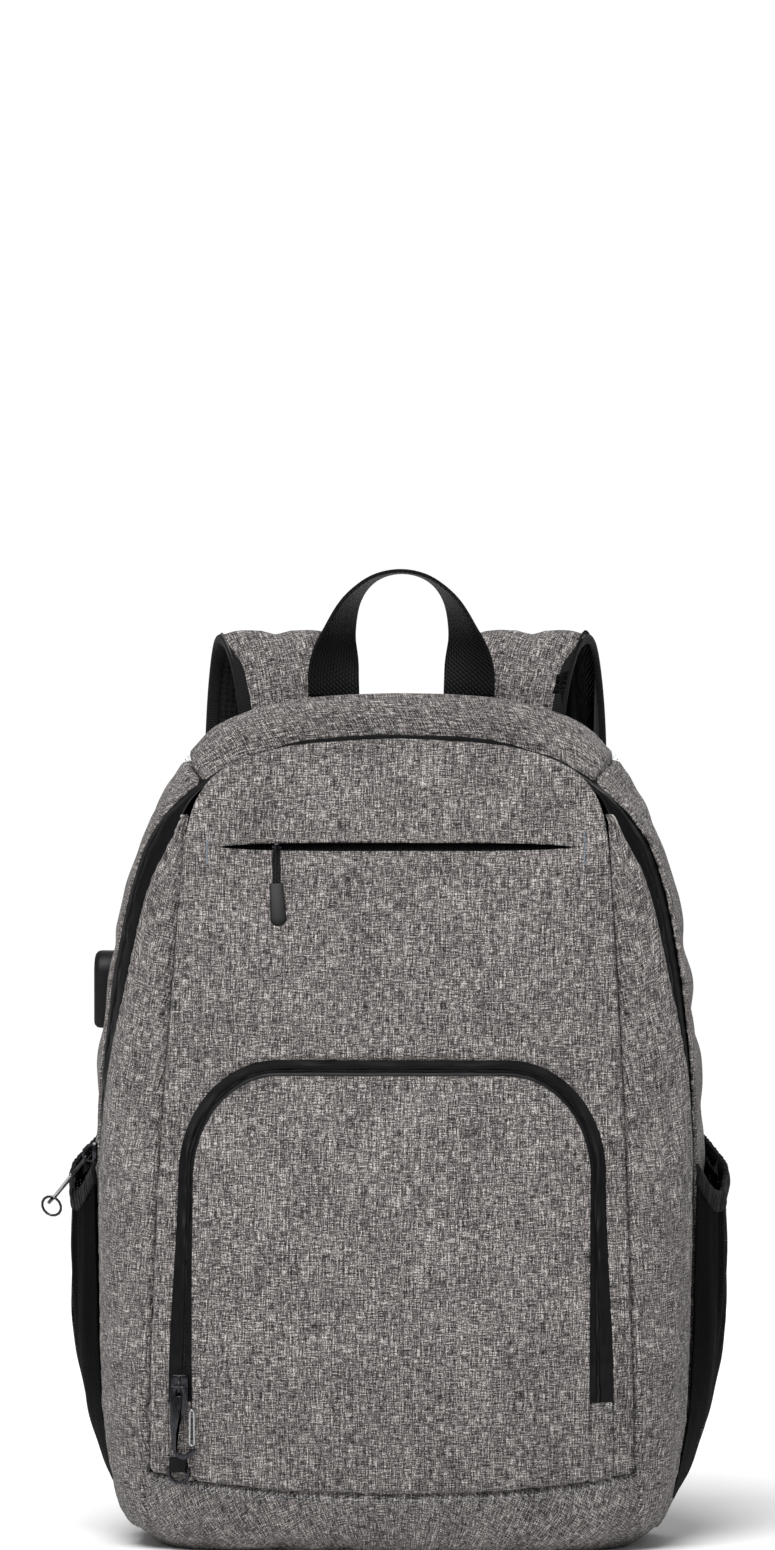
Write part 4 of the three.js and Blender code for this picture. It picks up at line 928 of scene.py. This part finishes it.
def hardware_spots():
    """Places where hardware and straps stand on the bag, as points."""
    spots = []
    for node in ("usb_port_housing", "main_slider", "pocket_slider", "d_ring_tab", "slash_slider",
                 "haul_handle", "strap_anchor_left", "strap_anchor_right"):
        low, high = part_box(node)
        spots.append((low + high) / 2)
    low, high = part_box("haul_handle")
    for side in (-1, 1):
        spots.append(Vector((side * 0.037, 0.06, low.z)))
        spots.append(Vector((side * 0.05, 0.066, low.z)))
    return spots


FORM = bag_form()
swell(FORM, pin_weights(FORM, hardware_spots()), 3.0, 0.03, 4.5)
SKIN = form_tree(FORM)


# Cloth patches of the body

def from_front(x, z):
    """Points of the skin's front at the sides x and heights z."""
    starts = np.stack([x, np.full_like(x, -0.05), z], axis=-1)
    return cast(SKIN, starts, np.array([0, -1.0, 0]), 0.4)


def between(line_a, line_b):
    """A place function for a strip between two seam lines, drawn out onto the skin."""
    def place(u, v):
        rows = u.shape[0]
        a, b = even(line_a, rows), even(line_b, rows)
        chord = b - a
        tangent = np.gradient(a, axis=0) + np.gradient(b, axis=0)
        out = np.cross(chord, tangent)
        out /= np.maximum(np.linalg.norm(out, axis=1, keepdims=True), 1e-12)
        outside = (a + b) / 2 - np.array([0, 0.045, 0.25])
        out *= np.sign((out * outside).sum(1).mean())
        out = relaxed(out, 20)
        starts = a[:, None] + chord[:, None] * u[0][None, :, None]
        return cast(SKIN, starts, out[:, None, :], 0.12)
    return place


def body_patch(name, across, along, place, slot="woven_cloth", materials=None, thick=CLOTH_THICK,
               replaced=None, **style):
    piece = cloth_patch(name, across, along, place, **style)
    thicken(piece, thick)
    return finish_piece(piece, "bag", materials or [CLOTH], replaced or ())


def tape_patch(name, along, place, replaced=(), edge=None, across=None, thick=None, **style):
    """A band of zip tape, or of zip coil, with the edge beside the coil turned down."""
    coil = name.endswith("coil")
    return body_patch(
        name, across or (4 if coil else 8), along, place, "zip_tape", [COIL if coil else TAPE],
        thick or (0.5 if coil else 0.6), replaced, edges={edge: (0.7, 0.8)} if edge else None, **style)


def cells(length):
    """How many cells of cloth go into a length in metres."""
    return max(int(round(length / (CELL * MM))), 2)


def outer_line():
    """The front panel's outer edge, from the left foot up the seam, along the zip and down again."""
    foot = band_height(-0.131)
    tip = tip_height()
    heights = np.linspace(foot, tip, 120)
    left = np.stack([-seam_half(heights), heights], axis=1)
    top = PANEL_EDGE[(np.abs(PANEL_EDGE[:, 0]) < seam_half(tip) - 0.001) & (PANEL_EDGE[:, 2] > 0.39)]
    top = top[:, [0, 2]]
    away = top - [0, 0.25]
    top = top - away / np.linalg.norm(away, axis=1, keepdims=True) * 2.6 * MM
    return np.concatenate([left, top, (left * [-1, 1])[::-1]])


def tip_height():
    """Height where the front seam meets the main zip."""
    left = TAPE_FRONT[(TAPE_FRONT[:, 0] < 0) & (TAPE_FRONT[:, 2] > 0.3)]
    gap = -left[:, 0] - seam_half(left[:, 2])
    return float(left[np.abs(gap).argmin(), 2])


def over_the_top(points):
    """0 at the sides of the bag and 1 where the zip runs behind the front panel's upper edge."""
    share = np.clip((points[..., 2] / MM - HIDDEN_FROM) / HIDDEN_RISE, 0, 1)
    return share * share * (3 - 2 * share)


def full_side(points):
    """1 on the upper right side of the bag, which is fuller than the left, and 0 elsewhere."""
    return np.clip((points[..., 0] - 0.08) / 0.03, 0, 1) * np.clip((points[..., 2] - 0.2) / 0.05, 0, 1)


def near(run, reach):
    """1 at an edge, falling to 0 over a reach in millimetres, for a run from it in metres."""
    return np.exp(-(run / (reach * MM)) ** 2)


def raised_rim(points, run_u, run_v):
    """The front panel's edge stands up over the zip at the top."""
    return RIM_RISE * MM * over_the_top(points) * near(run_v[-1:] - run_v, RIM_REACH)


def sunken_tape(points, run_u, run_v):
    """The zip lies low behind the panel's edge, and a little low along the fuller right side."""
    return -MM * np.maximum(TAPE_SINK * over_the_top(points), TAPE_SINK_RIGHT * full_side(points))


def tucked_front(points, run_u, run_v):
    """Behind the hidden part of the zip the crown's cloth dips to meet it."""
    return -CROWN_TUCK * MM * over_the_top(points) * near(run_u, TUCK_REACH)


def gusset_fall(points, run_u, run_v):
    """The front gusset laps over the foot band, and on the right it swells over the zip's edge."""
    lap = GUSSET_LAP * np.clip((0.05 - points[..., 2]) / 0.006, 0, 1)
    return (lap + GUSSET_SWELL * full_side(points) * near(run_u[:, -1:] - run_u, SWELL_REACH)) * MM


def front_panel_place(u, v):
    """The front panel round the pocket's arch, as a strip from the arch out to the panel's edge."""
    inner_x, inner_z = arch(u, 0.0)
    spring = (ARCH_TOP - ARCH_CORNER_HIGH) * MM
    edge = even(outer_line(), 900)
    turn = np.arctan2(edge[:, 1] - spring, edge[:, 0])
    upper = edge[:, 1] > spring
    aim = np.arctan2(np.maximum(inner_z - spring, 0), inner_x)
    order = np.argsort(turn[upper])
    arc_x = np.interp(aim, turn[upper][order], edge[upper][order, 0])
    arc_z = np.interp(aim, turn[upper][order], edge[upper][order, 1])
    leg_z = inner_z + (band_height(-0.131) - band_height(-ARCH_HALF * MM)) * np.clip(
        (spring - inner_z) / spring, 0, 1)
    leg_x = np.sign(inner_x) * seam_half(leg_z)
    on_leg = inner_z <= spring + 1e-6
    outer_x = np.where(on_leg, leg_x, arc_x)
    outer_z = np.where(on_leg, leg_z, arc_z)
    x = inner_x + (outer_x - inner_x) * v
    z = inner_z + (outer_z - inner_z) * v
    return from_front(x, z)


def open_slash(piece):
    """Cuts the slash pocket's slit and lets its two lips part in a long lens."""
    height = SLASH_HEIGHT * MM
    bm = bmesh.new()
    bm.from_mesh(piece.data)
    near = [f for f in bm.faces if abs(f.calc_center_median().z - height) < 0.02]
    geometry = list({e for f in near for e in f.edges}) + list({v for f in near for v in f.verts}) + near
    cut = bmesh.ops.bisect_plane(bm, geom=geometry, plane_co=(0, 0, height), plane_no=(0, 0, 1),
                                 dist=1e-5)
    slit = [
        e for e in cut["geom_cut"]
        if isinstance(e, bmesh.types.BMEdge)
        and all(abs(v.co.x) < (SLASH_HALF - 0.8) * MM for v in e.verts)
    ]
    bmesh.ops.split_edges(bm, edges=slit)
    for vert in bm.verts:
        x = vert.co.x / (SLASH_HALF * MM)
        if abs(x) >= 1 or abs(vert.co.z - height) > 0.03 or not vert.link_faces:
            continue
        above = np.mean([f.calc_center_median().z for f in vert.link_faces]) > height
        part = SLASH_OPEN / 2 * MM * (1 - abs(x) ** 5)
        fade = math.exp(-abs(vert.co.z - height) / (7 * MM))
        vert.co.z += (part if above else -0.8 * part) * fade
        vert.co.y -= (0.9 if above else 0.5) * MM * (1 - abs(x) ** 5) * fade
    bm.to_mesh(piece.data)
    bm.free()


def make_front():
    """Front panel, pocket, their zips and the strips below the legs of the arch."""
    panel = cloth_patch(
        "front_cloth", 360, cells(0.175), front_panel_place,
        edges={"v0": ZIP_EDGE, "v1": FRONT_SEAM, "u0": FOOT_SEAM, "u1": FOOT_SEAM},
        ripples={"v0": (0.25, 9), "v1": (0.35, 13)}, flat_uv=(0, 2), lift=0.7, shape=raised_rim,
    )
    open_slash(panel)
    thicken(panel)
    finish_piece(panel, "bag", [CLOTH], ["front_panel"])

    half = (ARCH_HALF - ARCH_LEG) * MM
    straight = half - (ARCH_CORNER_WIDE - 10) * MM
    spring = (ARCH_TOP - ARCH_CORNER_HIGH) * MM
    rise = (ARCH_CORNER_HIGH - ARCH_CROWN) * MM

    def pocket_place(u, v):
        x = half * np.sin(math.pi * (u - 0.5))
        past = np.clip((np.abs(x) - straight) / (half - straight), 0, 1)
        top = spring + rise * np.sqrt(1 - past**2)
        low = band_height(x)
        return from_front(x, low + (top - low) * v)

    body_patch(
        "pocket_cloth", cells(0.32), cells(0.22), pocket_place, replaced=["pocket_panel"],
        edges={"u0": ZIP_EDGE, "u1": ZIP_EDGE, "v0": FOOT_SEAM, "v1": ZIP_EDGE},
        ripples={"u0": (0.2, 9), "u1": (0.2, 11), "v1": (0.25, 8), "v0": (0.25, 12)},
        flat_uv=(0, 2), lift=0.7,
    )

    foot = ARCH_LEG_END * MM

    def tape_part(first, last):
        def place(u, v):
            x0, z0 = arch(v, 0.0, foot)
            x1, z1 = arch(v, 1.0, foot)
            share = first + (last - first) * u
            x, z = x0 + (x1 - x0) * share, z0 + (z1 - z0) * share
            return from_front(x, z)
        return place

    coil = 0.62
    for name, first, last, replaced, edge in (
        ("pocket_tape_outer", -0.06, coil - 0.03, ["pocket_zipper_tape"], "u1"),
        ("pocket_tape_inner", coil + 0.03, 1.06, [], "u0"),
    ):
        tape_patch(name, cells(0.6), tape_part(first, last), replaced, edge, lift=-0.6)
    tape_patch("pocket_coil", cells(0.6), tape_part(coil - 0.06, coil + 0.06), lift=-1.2)

    for side, word in ((-1, "left"), (1, "right")):
        def garage_place(u, v):
            x = side * (half + (ARCH_LEG * MM) * u)
            low = band_height(x)
            return from_front(x, low + (foot + 0.001 - low) * v)

        body_patch(
            "garage_" + word, 8, 24, garage_place, replaced=["zip_garage_" + word],
            edges={"u0": (1.2, 1.2), "u1": (1.2, 1.2), "v0": (1.6, 1.6), "v1": (0.9, 1.2)},
            flat_uv=(0, 2), lift=0.55,
        )

    def slash_place(u, v):
        x = (SLASH_HALF + 4) * MM * (2 * u - 1)
        z = SLASH_HEIGHT * MM + 7 * MM * (2 * v - 1)
        return from_front(x, z)

    tape_patch("slash_tape", 10, slash_place, ["slash_zipper"], across=cells(0.2), lift=-3.0)

    def slash_coil_place(u, v):
        x = (SLASH_HALF + 1) * MM * (2 * v - 1)
        z = SLASH_HEIGHT * MM + 1.6 * MM * (2 * u - 1)
        return from_front(x, z)

    tape_patch("slash_coil", cells(0.2), slash_coil_place, across=6, thick=0.6, lift=-2.2)


def make_gussets():
    """Side panels before and behind the main zip, the crown between the shoulder seams, and the zip."""
    tip = tip_height()
    heights = np.linspace(0.010, tip - 0.001, 180)
    left_zip = TAPE_FRONT[(TAPE_FRONT[:, 0] < 0) & (TAPE_FRONT[:, 2] <= tip + 0.0005)]
    low = np.linspace(0.010, 0.042, 16)
    below = np.stack([low * 0 - 0.05, low * 0 + left_zip[0, 1], low], axis=1)
    left_zip = np.concatenate([cast(SKIN, below, np.array([-1.0, 0, 0]), 0.3), left_zip])
    seam = np.stack([-seam_half(heights), heights * 0, heights], axis=1)
    seam = from_front(seam[:, 0], seam[:, 2])
    left_zip[-1] = seam[-1] + [-0.0006, 0.0006, 0]

    for side, word in ((-1, "left"), (1, "right")):
        inner = seam if side < 0 else mirrored(seam)
        outer = left_zip if side < 0 else mirrored(left_zip)
        body_patch(
            "front_gusset_cloth_" + word, cells(0.085), cells(0.41), between(inner, outer),
            replaced=["front_gusset_" + word], lift=0.7, shape=gusset_fall,
            edges={"u0": FRONT_SEAM, "u1": HOOP_EDGE, "v0": FOOT_SEAM},
            ripples={"u0": (0.4, 12), "u1": (0.25, 10), "v0": (0.3, 11)},
        )

    def part(line, low, high):
        """The part of a hoop between two angles round the middle of the bag."""
        line = even(line, 3000)
        turn = np.degrees(np.arctan2(line[:, 2] - 0.25, line[:, 0])) % 360
        turn = np.where(turn > 270, turn - 360, turn)
        return line[(turn >= low) & (turn <= high)]

    spans = (
        ("rear_gusset_cloth_right", "rear_gusset_right", -90, SHOULDER_ANGLE, 0.47),
        ("crown_cloth", "top_gusset", SHOULDER_ANGLE, 180 - SHOULDER_ANGLE, 0.26),
        ("rear_gusset_cloth_left", "rear_gusset_left", 180 - SHOULDER_ANGLE, 270, 0.47),
    )
    for name, node, low, high, long in spans:
        front, back = part(TAPE_BACK, low, high), part(BACK_SEAM, low, high)
        body_patch(
            name, cells(0.075), cells(long), between(front, back), replaced=[node], lift=0.7,
            shape=tucked_front, calm=18,
            edges={"u0": HOOP_EDGE, "u1": REAR_SEAM, "v0": SHOULDER_SEAM, "v1": SHOULDER_SEAM},
            ripples={"u0": (0.3, 10), "u1": (0.12, 16), "v0": (0.3, 9), "v1": (0.3, 9)},
        )

    back = even(TAPE_BACK, len(TAPE_FRONT))

    def tape(first, last):
        return between(TAPE_FRONT + (back - TAPE_FRONT) * first, TAPE_FRONT + (back - TAPE_FRONT) * last)

    for name, first, last, replaced, edge, lift in (
        ("main_tape_front", -0.05, 0.47, ["main_zipper_tape"], "u1", -0.6),
        ("main_tape_back", 0.53, 1.3, [], "u0", -0.6),
        ("main_coil", 0.45, 0.55, [], None, -1.2),
    ):
        tape_patch(name, cells(1.1), tape(first, last), replaced, edge, lift=lift, shape=sunken_tape)


def make_base():
    """The tub of the foot band and base, drawn from the middle of the base out and up to its seam."""
    heart = np.array([0, 0, 0.045])

    def place(u, v):
        turn = 2 * math.pi * u
        out = np.stack([np.cos(turn), np.sin(turn), np.zeros_like(turn)], axis=-1)
        rim = cast(SKIN, heart + out * 0.1, out, 0.3)
        for _ in range(2):
            rim[..., 2] = band_height(rim[..., 0])
            level = heart * [1, 1, 0] + rim * [0, 0, 1]
            rim = cast(SKIN, level + out * 0.1, out, 0.3)
        edge = rim - heart
        flat = edge * [1, 1, 0] * np.minimum(v * 1.35, 0.93)[..., None] - heart * [0, 0, 1]
        rise = np.clip((v - 0.6) / 0.4, 0, 1)[..., None]
        rise = rise * rise * (3 - 2 * rise)
        aim = flat * (1 - rise) + edge * rise
        aim /= np.linalg.norm(aim, axis=-1, keepdims=True)
        return cast(SKIN, heart + aim * 0.06, aim, 0.3)

    piece = cloth_patch(
        "base_cloth", cells(0.6), cells(0.17), place, outward=(0, 0, 0.06), lift=0.3, flat_uv="rim",
        edges={"v1": FOOT_SEAM}, ripples={"v1": (0.35, 14)},
    )
    bm = bmesh.new()
    bm.from_mesh(piece.data)
    bmesh.ops.remove_doubles(bm, verts=bm.verts, dist=2e-5)
    for vert in bm.verts:
        vert.co.z = max(vert.co.z, 0.0)
    bm.to_mesh(piece.data)
    bm.free()
    thicken(piece)
    finish_piece(piece, "bag", [CLOTH], ["base_panel"])


def make_back():
    """The padded back: spacer mesh over foam, quilted in channels."""
    left = BACK_SEAM[BACK_SEAM[:, 0] < -0.002]

    def place(u, v):
        side = even(left, u.shape[0])
        x = -side[:, :1] * np.sin(math.pi * (u - 0.5))
        level = np.repeat(side[:, 2:3], u.shape[1], axis=1)
        low = np.clip((0.09 - level) / 0.045, 0, 1)
        z = level + (band_height(x) - band_height(side[0, 0])) * low
        z = np.minimum(z, 0.449 - 0.35 * x**2)
        near_top = np.clip((z - 0.425) / 0.034, 0, 1)
        near_seam = np.maximum(np.abs(2 * u - 1) ** 10, near_top)
        y = 0.08 + (side[:, 1:2] - 0.08) * near_seam
        guess = np.stack([x, y, z], axis=-1)
        heart = np.stack([0.75 * x, np.full_like(x, 0.02), np.minimum(z, 0.40)], axis=-1)
        aim = guess - heart
        aim /= np.linalg.norm(aim, axis=-1, keepdims=True)
        return cast(SKIN, guess, aim, 0.12)

    def pads(points, run_u, run_v):
        x, z = np.abs(points[..., 0]), points[..., 2]
        level = [np.abs(z - row) + 0.02 * (x < 0.028) for row in (0.33, 0.2)]
        sides = [run_u, run_u[:, -1:] - run_u, run_v, run_v[-1:] - run_v]
        beside = np.minimum.reduce([np.abs(x - 0.028)] + level + sides)
        crown = 2.0 * np.clip((z - 0.43) / 0.02, 0, 1)
        return (3.2 * (1 - np.exp(-beside / (9 * MM))) - 1.6 - crown) * MM

    piece = body_patch(
        "back_padding", cells(0.31), cells(0.45), place, "woven_cloth", [AIR_MESH], 3.0, ["back_panel"],
        outward=(0, 0, 0.25), shape=pads, edges={"v0": (1.5, 2.5)},
    )


def make_seam_stitches():
    """Pale stitching: below the band seam, at the shoulder seams and the zip's ends, and bar tacks."""
    x = np.linspace(-0.128, 0.122, 160)
    rows = [from_front(x, band_height(x) - low * MM) for low in (2.4, 4.4)]
    stitches("band_stitching", rows, SKIN, lift=0.45)
    shoulder = []
    for side in (-1, 1):
        for shift in (0.0, 2.2):
            angle = math.radians(SHOULDER_ANGLE) - shift * MM / 0.2
            out = np.array([side * math.cos(angle), 0, math.sin(angle)])
            y = np.linspace(0.03, 0.07, 30)
            starts = np.array([0, 0, 0.25]) + out * 0.18 + np.outer(y, [0, 1, 0])
            shoulder.append(cast(SKIN, starts, out, 0.15))
    stitches("shoulder_stitching", shoulder, SKIN, lift=0.9)
    tacks = []
    for side in (-1, 1):
        z = np.linspace(366, 383, 12) * MM
        x = side * (SLASH_HALF + 2.4) * MM + 0 * z
        tacks.append(from_front(x, z))
    stitches("bar_tacks", tacks, SKIN, pitch=0.62, long=1.5, thick=0.6, lift=1.2, turned=True)
    ends = []
    for low in (1.6, 3.4):
        x = np.linspace(ARCH_HALF - ARCH_LEG + 1.5, ARCH_HALF - 1.5, 12) * MM
        ends.append(from_front(x, ARCH_LEG_END * MM - low * MM + 0 * x))
    stitches("zip_end_stitching", ends, SKIN, pitch=2.2, long=1.7, lift=0.9)


make_front()
make_gussets()
make_base()
make_back()
make_seam_stitches()


# Stretch mesh side pockets

MESH_STAND = 1.6
HEM_LAP = 4


def make_side_pockets():
    """The stretch mesh pockets, drawn in at the foot and behind the mouth, with their elastic hems."""
    for side, word in ((-1, "left"), (1, "right")):
        node, hem = "side_pocket_" + word, "pocket_hem_" + word
        low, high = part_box(node)
        tree = tree_of(node, hem)
        depths = np.linspace(low.y + 0.0008, high.y - 0.0008, 40)

        def heights(name, pick):
            return np.array([pick(crossing(name, (0, 1, 0), (0, y, 0))[:, 2]) for y in depths])

        tops, lips = heights(node, max), heights(hem, max)
        foots = relaxed(heights(node, min)[:, None], 30)[:, 0] + 3 * MM
        out = np.array([side, 0.0, 0.0])

        def onto_pocket(y, z):
            return cast(tree, np.stack([np.full_like(y, side * 0.16), y, z], axis=-1), out, 0.2)

        def drawn_in(found, share, across):
            """Draws the mesh in at the foot and, by its elastic, behind the mouth."""
            body = np.abs(cast(SKIN, found * [0, 1, 1] + out * 0.05, out, 0.3)[..., 0]) + MESH_STAND * MM
            rear = np.clip((across - 0.5) / 0.3, 0, 1)
            high = np.clip((share - 0.62) / 0.38, 0, 1)
            foot = np.clip((found[..., 2] - 0.02) / 0.1, 0, 1)
            kept = (1 - 0.85 * (rear * high) ** 1.2) * (0.42 + 0.58 * foot)
            found[..., 0] = side * (body + np.maximum(np.abs(found[..., 0]) - body, 0) * kept)
            return found

        def mesh_place(u, v):
            y = depths[0] + (depths[-1] - depths[0]) * u
            top, foot = np.interp(y, depths, tops), np.interp(y, depths, foots)
            found = onto_pocket(y, foot + (top + HEM_LAP * MM - foot) * v)
            for _ in range(30):
                around = found[:-2, 1:-1] + found[2:, 1:-1] + found[1:-1, :-2] + found[1:-1, 2:]
                found[1:-1, 1:-1] = 0.5 * found[1:-1, 1:-1] + 0.125 * around
            return calmed(drawn_in(found, v, u), 12)

        def folds(points, run_u, run_v):
            share, across = run_v / run_v[-1:], run_u / run_u[:, -1:]
            belly = np.sin(math.pi * across) ** 0.7
            gather = ripple(run_u, 17, 1.3) * 1.3 * share**2
            drape = ripple(run_u + 0.25 * run_v, 31, 0.4) * 1.1 * np.sin(math.pi * share)
            return (gather + drape - 1.2) * belly * MM

        mesh = cloth_patch(
            "pocket_mesh_" + word, 70, 110, mesh_place, outward=(0, 0.03, 0.12), shape=folds)
        finish_piece(thicken(mesh, 0.8), "bag", [MESH], [node])

        def hem_place(u, v):
            y = depths[0] + (depths[-1] - depths[0]) * u
            top, lip = np.interp(y, depths, tops), np.interp(y, depths, lips)
            found = onto_pocket(y, top - HEM_LAP * MM + (lip - top + (HEM_LAP - 0.2) * MM) * v)
            for _ in range(24):
                found[:, 1:-1] = 0.5 * found[:, 1:-1] + 0.25 * (found[:, :-2] + found[:, 2:])
            return calmed(drawn_in(found, np.ones_like(v), u), 8)

        def gathers(points, run_u, run_v):
            round_lip = -0.9 * np.abs(2 * run_v / run_v[-1:] - 1) ** 3
            return (0.45 * ripple(run_u, 4.2, 0.8) + round_lip) * MM

        band = cloth_patch("pocket_elastic_" + word, 130, 14, hem_place, outward=(0, 0.03, 0.2),
                           shape=gathers, lift=0.7)
        finish_piece(thicken(band, 1.8), "bag", [ELASTIC], [hem])


make_side_pockets()


# Haul handle, shoulder straps and their webbing

HANDLE_HALF, HANDLE_RISE, HANDLE_WIDE, HANDLE_THICK = 37, 68, 28, 2.4
HANDLE_ROUTE = [(1, 0), (1, 0.22), (0.93, 0.48), (0.74, 0.76), (0.42, 0.94), (0, 1)]


def make_handle():
    """The haul loop of webbing, its feet flat against the crown and its top turned edge on."""
    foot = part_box("haul_handle")[1].z - HANDLE_RISE * MM
    right = [(x * HANDLE_HALF * MM, 0.0603 - 0.004 * r, foot + r * HANDLE_RISE * MM)
             for x, r in HANDLE_ROUTE]
    route = [(-x, y, z) for x, y, z in right] + right[:-1][::-1]
    line = smooth_curve(route, 120)
    share = np.linspace(0, 1, 120)
    lift = np.interp(np.minimum(share, 1 - share), [0, 0.06, 0.14, 0.2, 0.27, 0.37, 0.5],
                     np.radians([0, 4, 32, 54, 66, 81, 90]))
    lift = relaxed(lift[:, None], 12)[:, 0]
    turn = np.where(share < 0.5, lift, math.pi - lift)
    across = np.stack([np.cos(turn), np.sin(turn), 0 * turn], axis=1)
    handle = loft("haul_webbing", line, across, HANDLE_WIDE * MM, HANDLE_THICK * MM, 40, 0.35)
    finish_piece(handle, "bag", [WEBBING], ["haul_handle"])


STRAP_ROUTE = [
    (57, 65.0, 446.2), (61, 72.3, 469.3), (66, 82.5, 485.0), (72, 96.9, 488.7), (76, 111.4, 474.8),
    (79, 118.2, 438.0), (80, 115.6, 378.0), (82, 112.2, 313.5), (86, 113.9, 244.3), (89, 119.9, 189.0),
    (91, 124.1, 152.1),
]
STRAP_SHARES = [1, 1, 1, 1, 1, 1, 1, 0.98, 0.92, 0.82, 0.62]
STRAP_WIDE, STRAP_THICK, BINDING_WIDE = 64, 9, 8


def make_straps():
    """Padded shoulder straps: grey face, spacer mesh lining, grosgrain binding and one quilting line."""
    for side, word in ((-1, "left"), (1, "right")):
        route = [(side * x * MM, y * MM, z * MM) for x, y, z in STRAP_ROUTE]
        count = 150
        line = smooth_curve(route, count)
        run = np.linspace(0, 1, count)
        knots = np.linspace(0, 1, len(STRAP_SHARES))
        wide = np.interp(run, knots, STRAP_SHARES) * STRAP_WIDE * MM
        ends = np.minimum(1, np.minimum(0.45 + 6 * run, 0.5 + 8 * (1 - run)))
        deep = STRAP_THICK * MM * ends
        across = np.tile(np.array([1.0, 0, 0]), (count, 1))

        def crown(x, y, v):
            pinch = -0.32 * np.sign(y) * np.abs(x) ** 4
            channel = -0.22 * np.sign(y) * np.exp(-((x / 0.05) ** 2))
            return (pinch + channel) * STRAP_THICK * MM * np.interp(v, run, ends)

        strap = loft("shoulder_padding_" + word, line, across, wide - 5 * MM, deep, 64, 0.55, crown)
        finish_piece(strap, "bag", [CLOTH, AIR_MESH], ["shoulder_strap_" + word])
        tangent = np.gradient(line, axis=0)
        tangent /= np.linalg.norm(tangent, axis=1, keepdims=True)
        face = np.cross(across, tangent)
        face /= np.linalg.norm(face, axis=1, keepdims=True)
        mesh = strap.data
        drawn = np.empty(len(mesh.loops) * 2)
        mesh.uv_layers["cloth"].data.foreach_get("uv", drawn)
        inside = [drawn[0::2][list(p.loop_indices)].mean() > LINING_SHIFT / 2 for p in mesh.polygons]
        mesh.polygons.foreach_set("material_index", np.array(inside, int))
        quilting = (line + face * deep[:, None] / 2)[6:-6]
        stitches("strap_quilting_" + word, [quilting], form_tree(strap), lift=0.1,
                 heart=(side * 0.06, 0.1, 0.44))
        for edge, beside in (("inner", -1), ("outer", 1)):
            rim = line + across * (side * beside * (wide / 2 - BINDING_WIDE / 2 * MM))[:, None]
            strip = loft("strap_binding_%s_%s" % (edge, word), rim, across, BINDING_WIDE * MM,
                         deep * 0.52 + 1.0 * MM, 20, 0.5)
            finish_piece(strip, "bag", [BINDING])


def make_hardware():
    """Rigid pieces: locks, port, sliders, clasps, rings and the slash pocket's pull."""
    for node, body, material, slot, width in (
        ("ladder_lock_left", "bag", ACETAL, "plastic", 0.6),
        ("ladder_lock_right", "bag", ACETAL, "plastic", 0.6),
        ("usb_port_housing", "bag", RUBBER, "rubber", 0.35),
        ("main_slider", "bag", GUNMETAL, "dark_metal", 0.25),
        ("pocket_slider", "bag", GUNMETAL, "dark_metal", 0.25),
        ("slash_slider", "bag", GUNMETAL, "dark_metal", 0.12),
        ("side_ring", "bag", GUNMETAL, "dark_metal", 0.01),
        ("d_ring", "bag", GUNMETAL, "dark_metal", 0.3),
        ("main_clasp_body", "bag", GUNMETAL, "dark_metal", 0.35),
        ("pocket_clasp_body", "pocket_clasp", GUNMETAL, "dark_metal", 0.35),
        ("main_clasp_gate", "main_gate", WIRE, "wire", 0.3),
        ("pocket_clasp_gate", "pocket_gate", WIRE, "wire", 0.3),
        ("slash_pull_grip", "bag", RUBBER, "rubber", 0.01),
    ):
        piece = softened(node + "_finish", node, width)
        finish_piece(piece, body, [material], [node], smooth=False)


def make_flat_webbing():
    """Webbing, tabs and the doubled cord, which keep the CAD solids' shapes."""
    for node, material, slot, width in (
        ("strap_webbing_left", WEBBING, "webbing", 0.3),
        ("strap_webbing_right", WEBBING, "webbing", 0.3),
        ("d_ring_tab", WEBBING, "webbing", 0.4),
        ("slash_pull_cord", WEBBING, "webbing", 0.4),
        ("strap_anchor_left", CLOTH, "woven_cloth", 0.5),
        ("strap_anchor_right", CLOTH, "woven_cloth", 0.5),
    ):
        piece = softened(node + "_finish", node, width, 40)
        piece.data.uv_layers.new(name="cloth")
        draw_pattern(piece.data, coordinates(piece.data)[:, [0, 2]])
        finish_piece(piece, "bag", [material], [node], smooth=False)


make_handle()
make_straps()
make_hardware()
make_flat_webbing()

bpy.data.objects.remove(FORM)
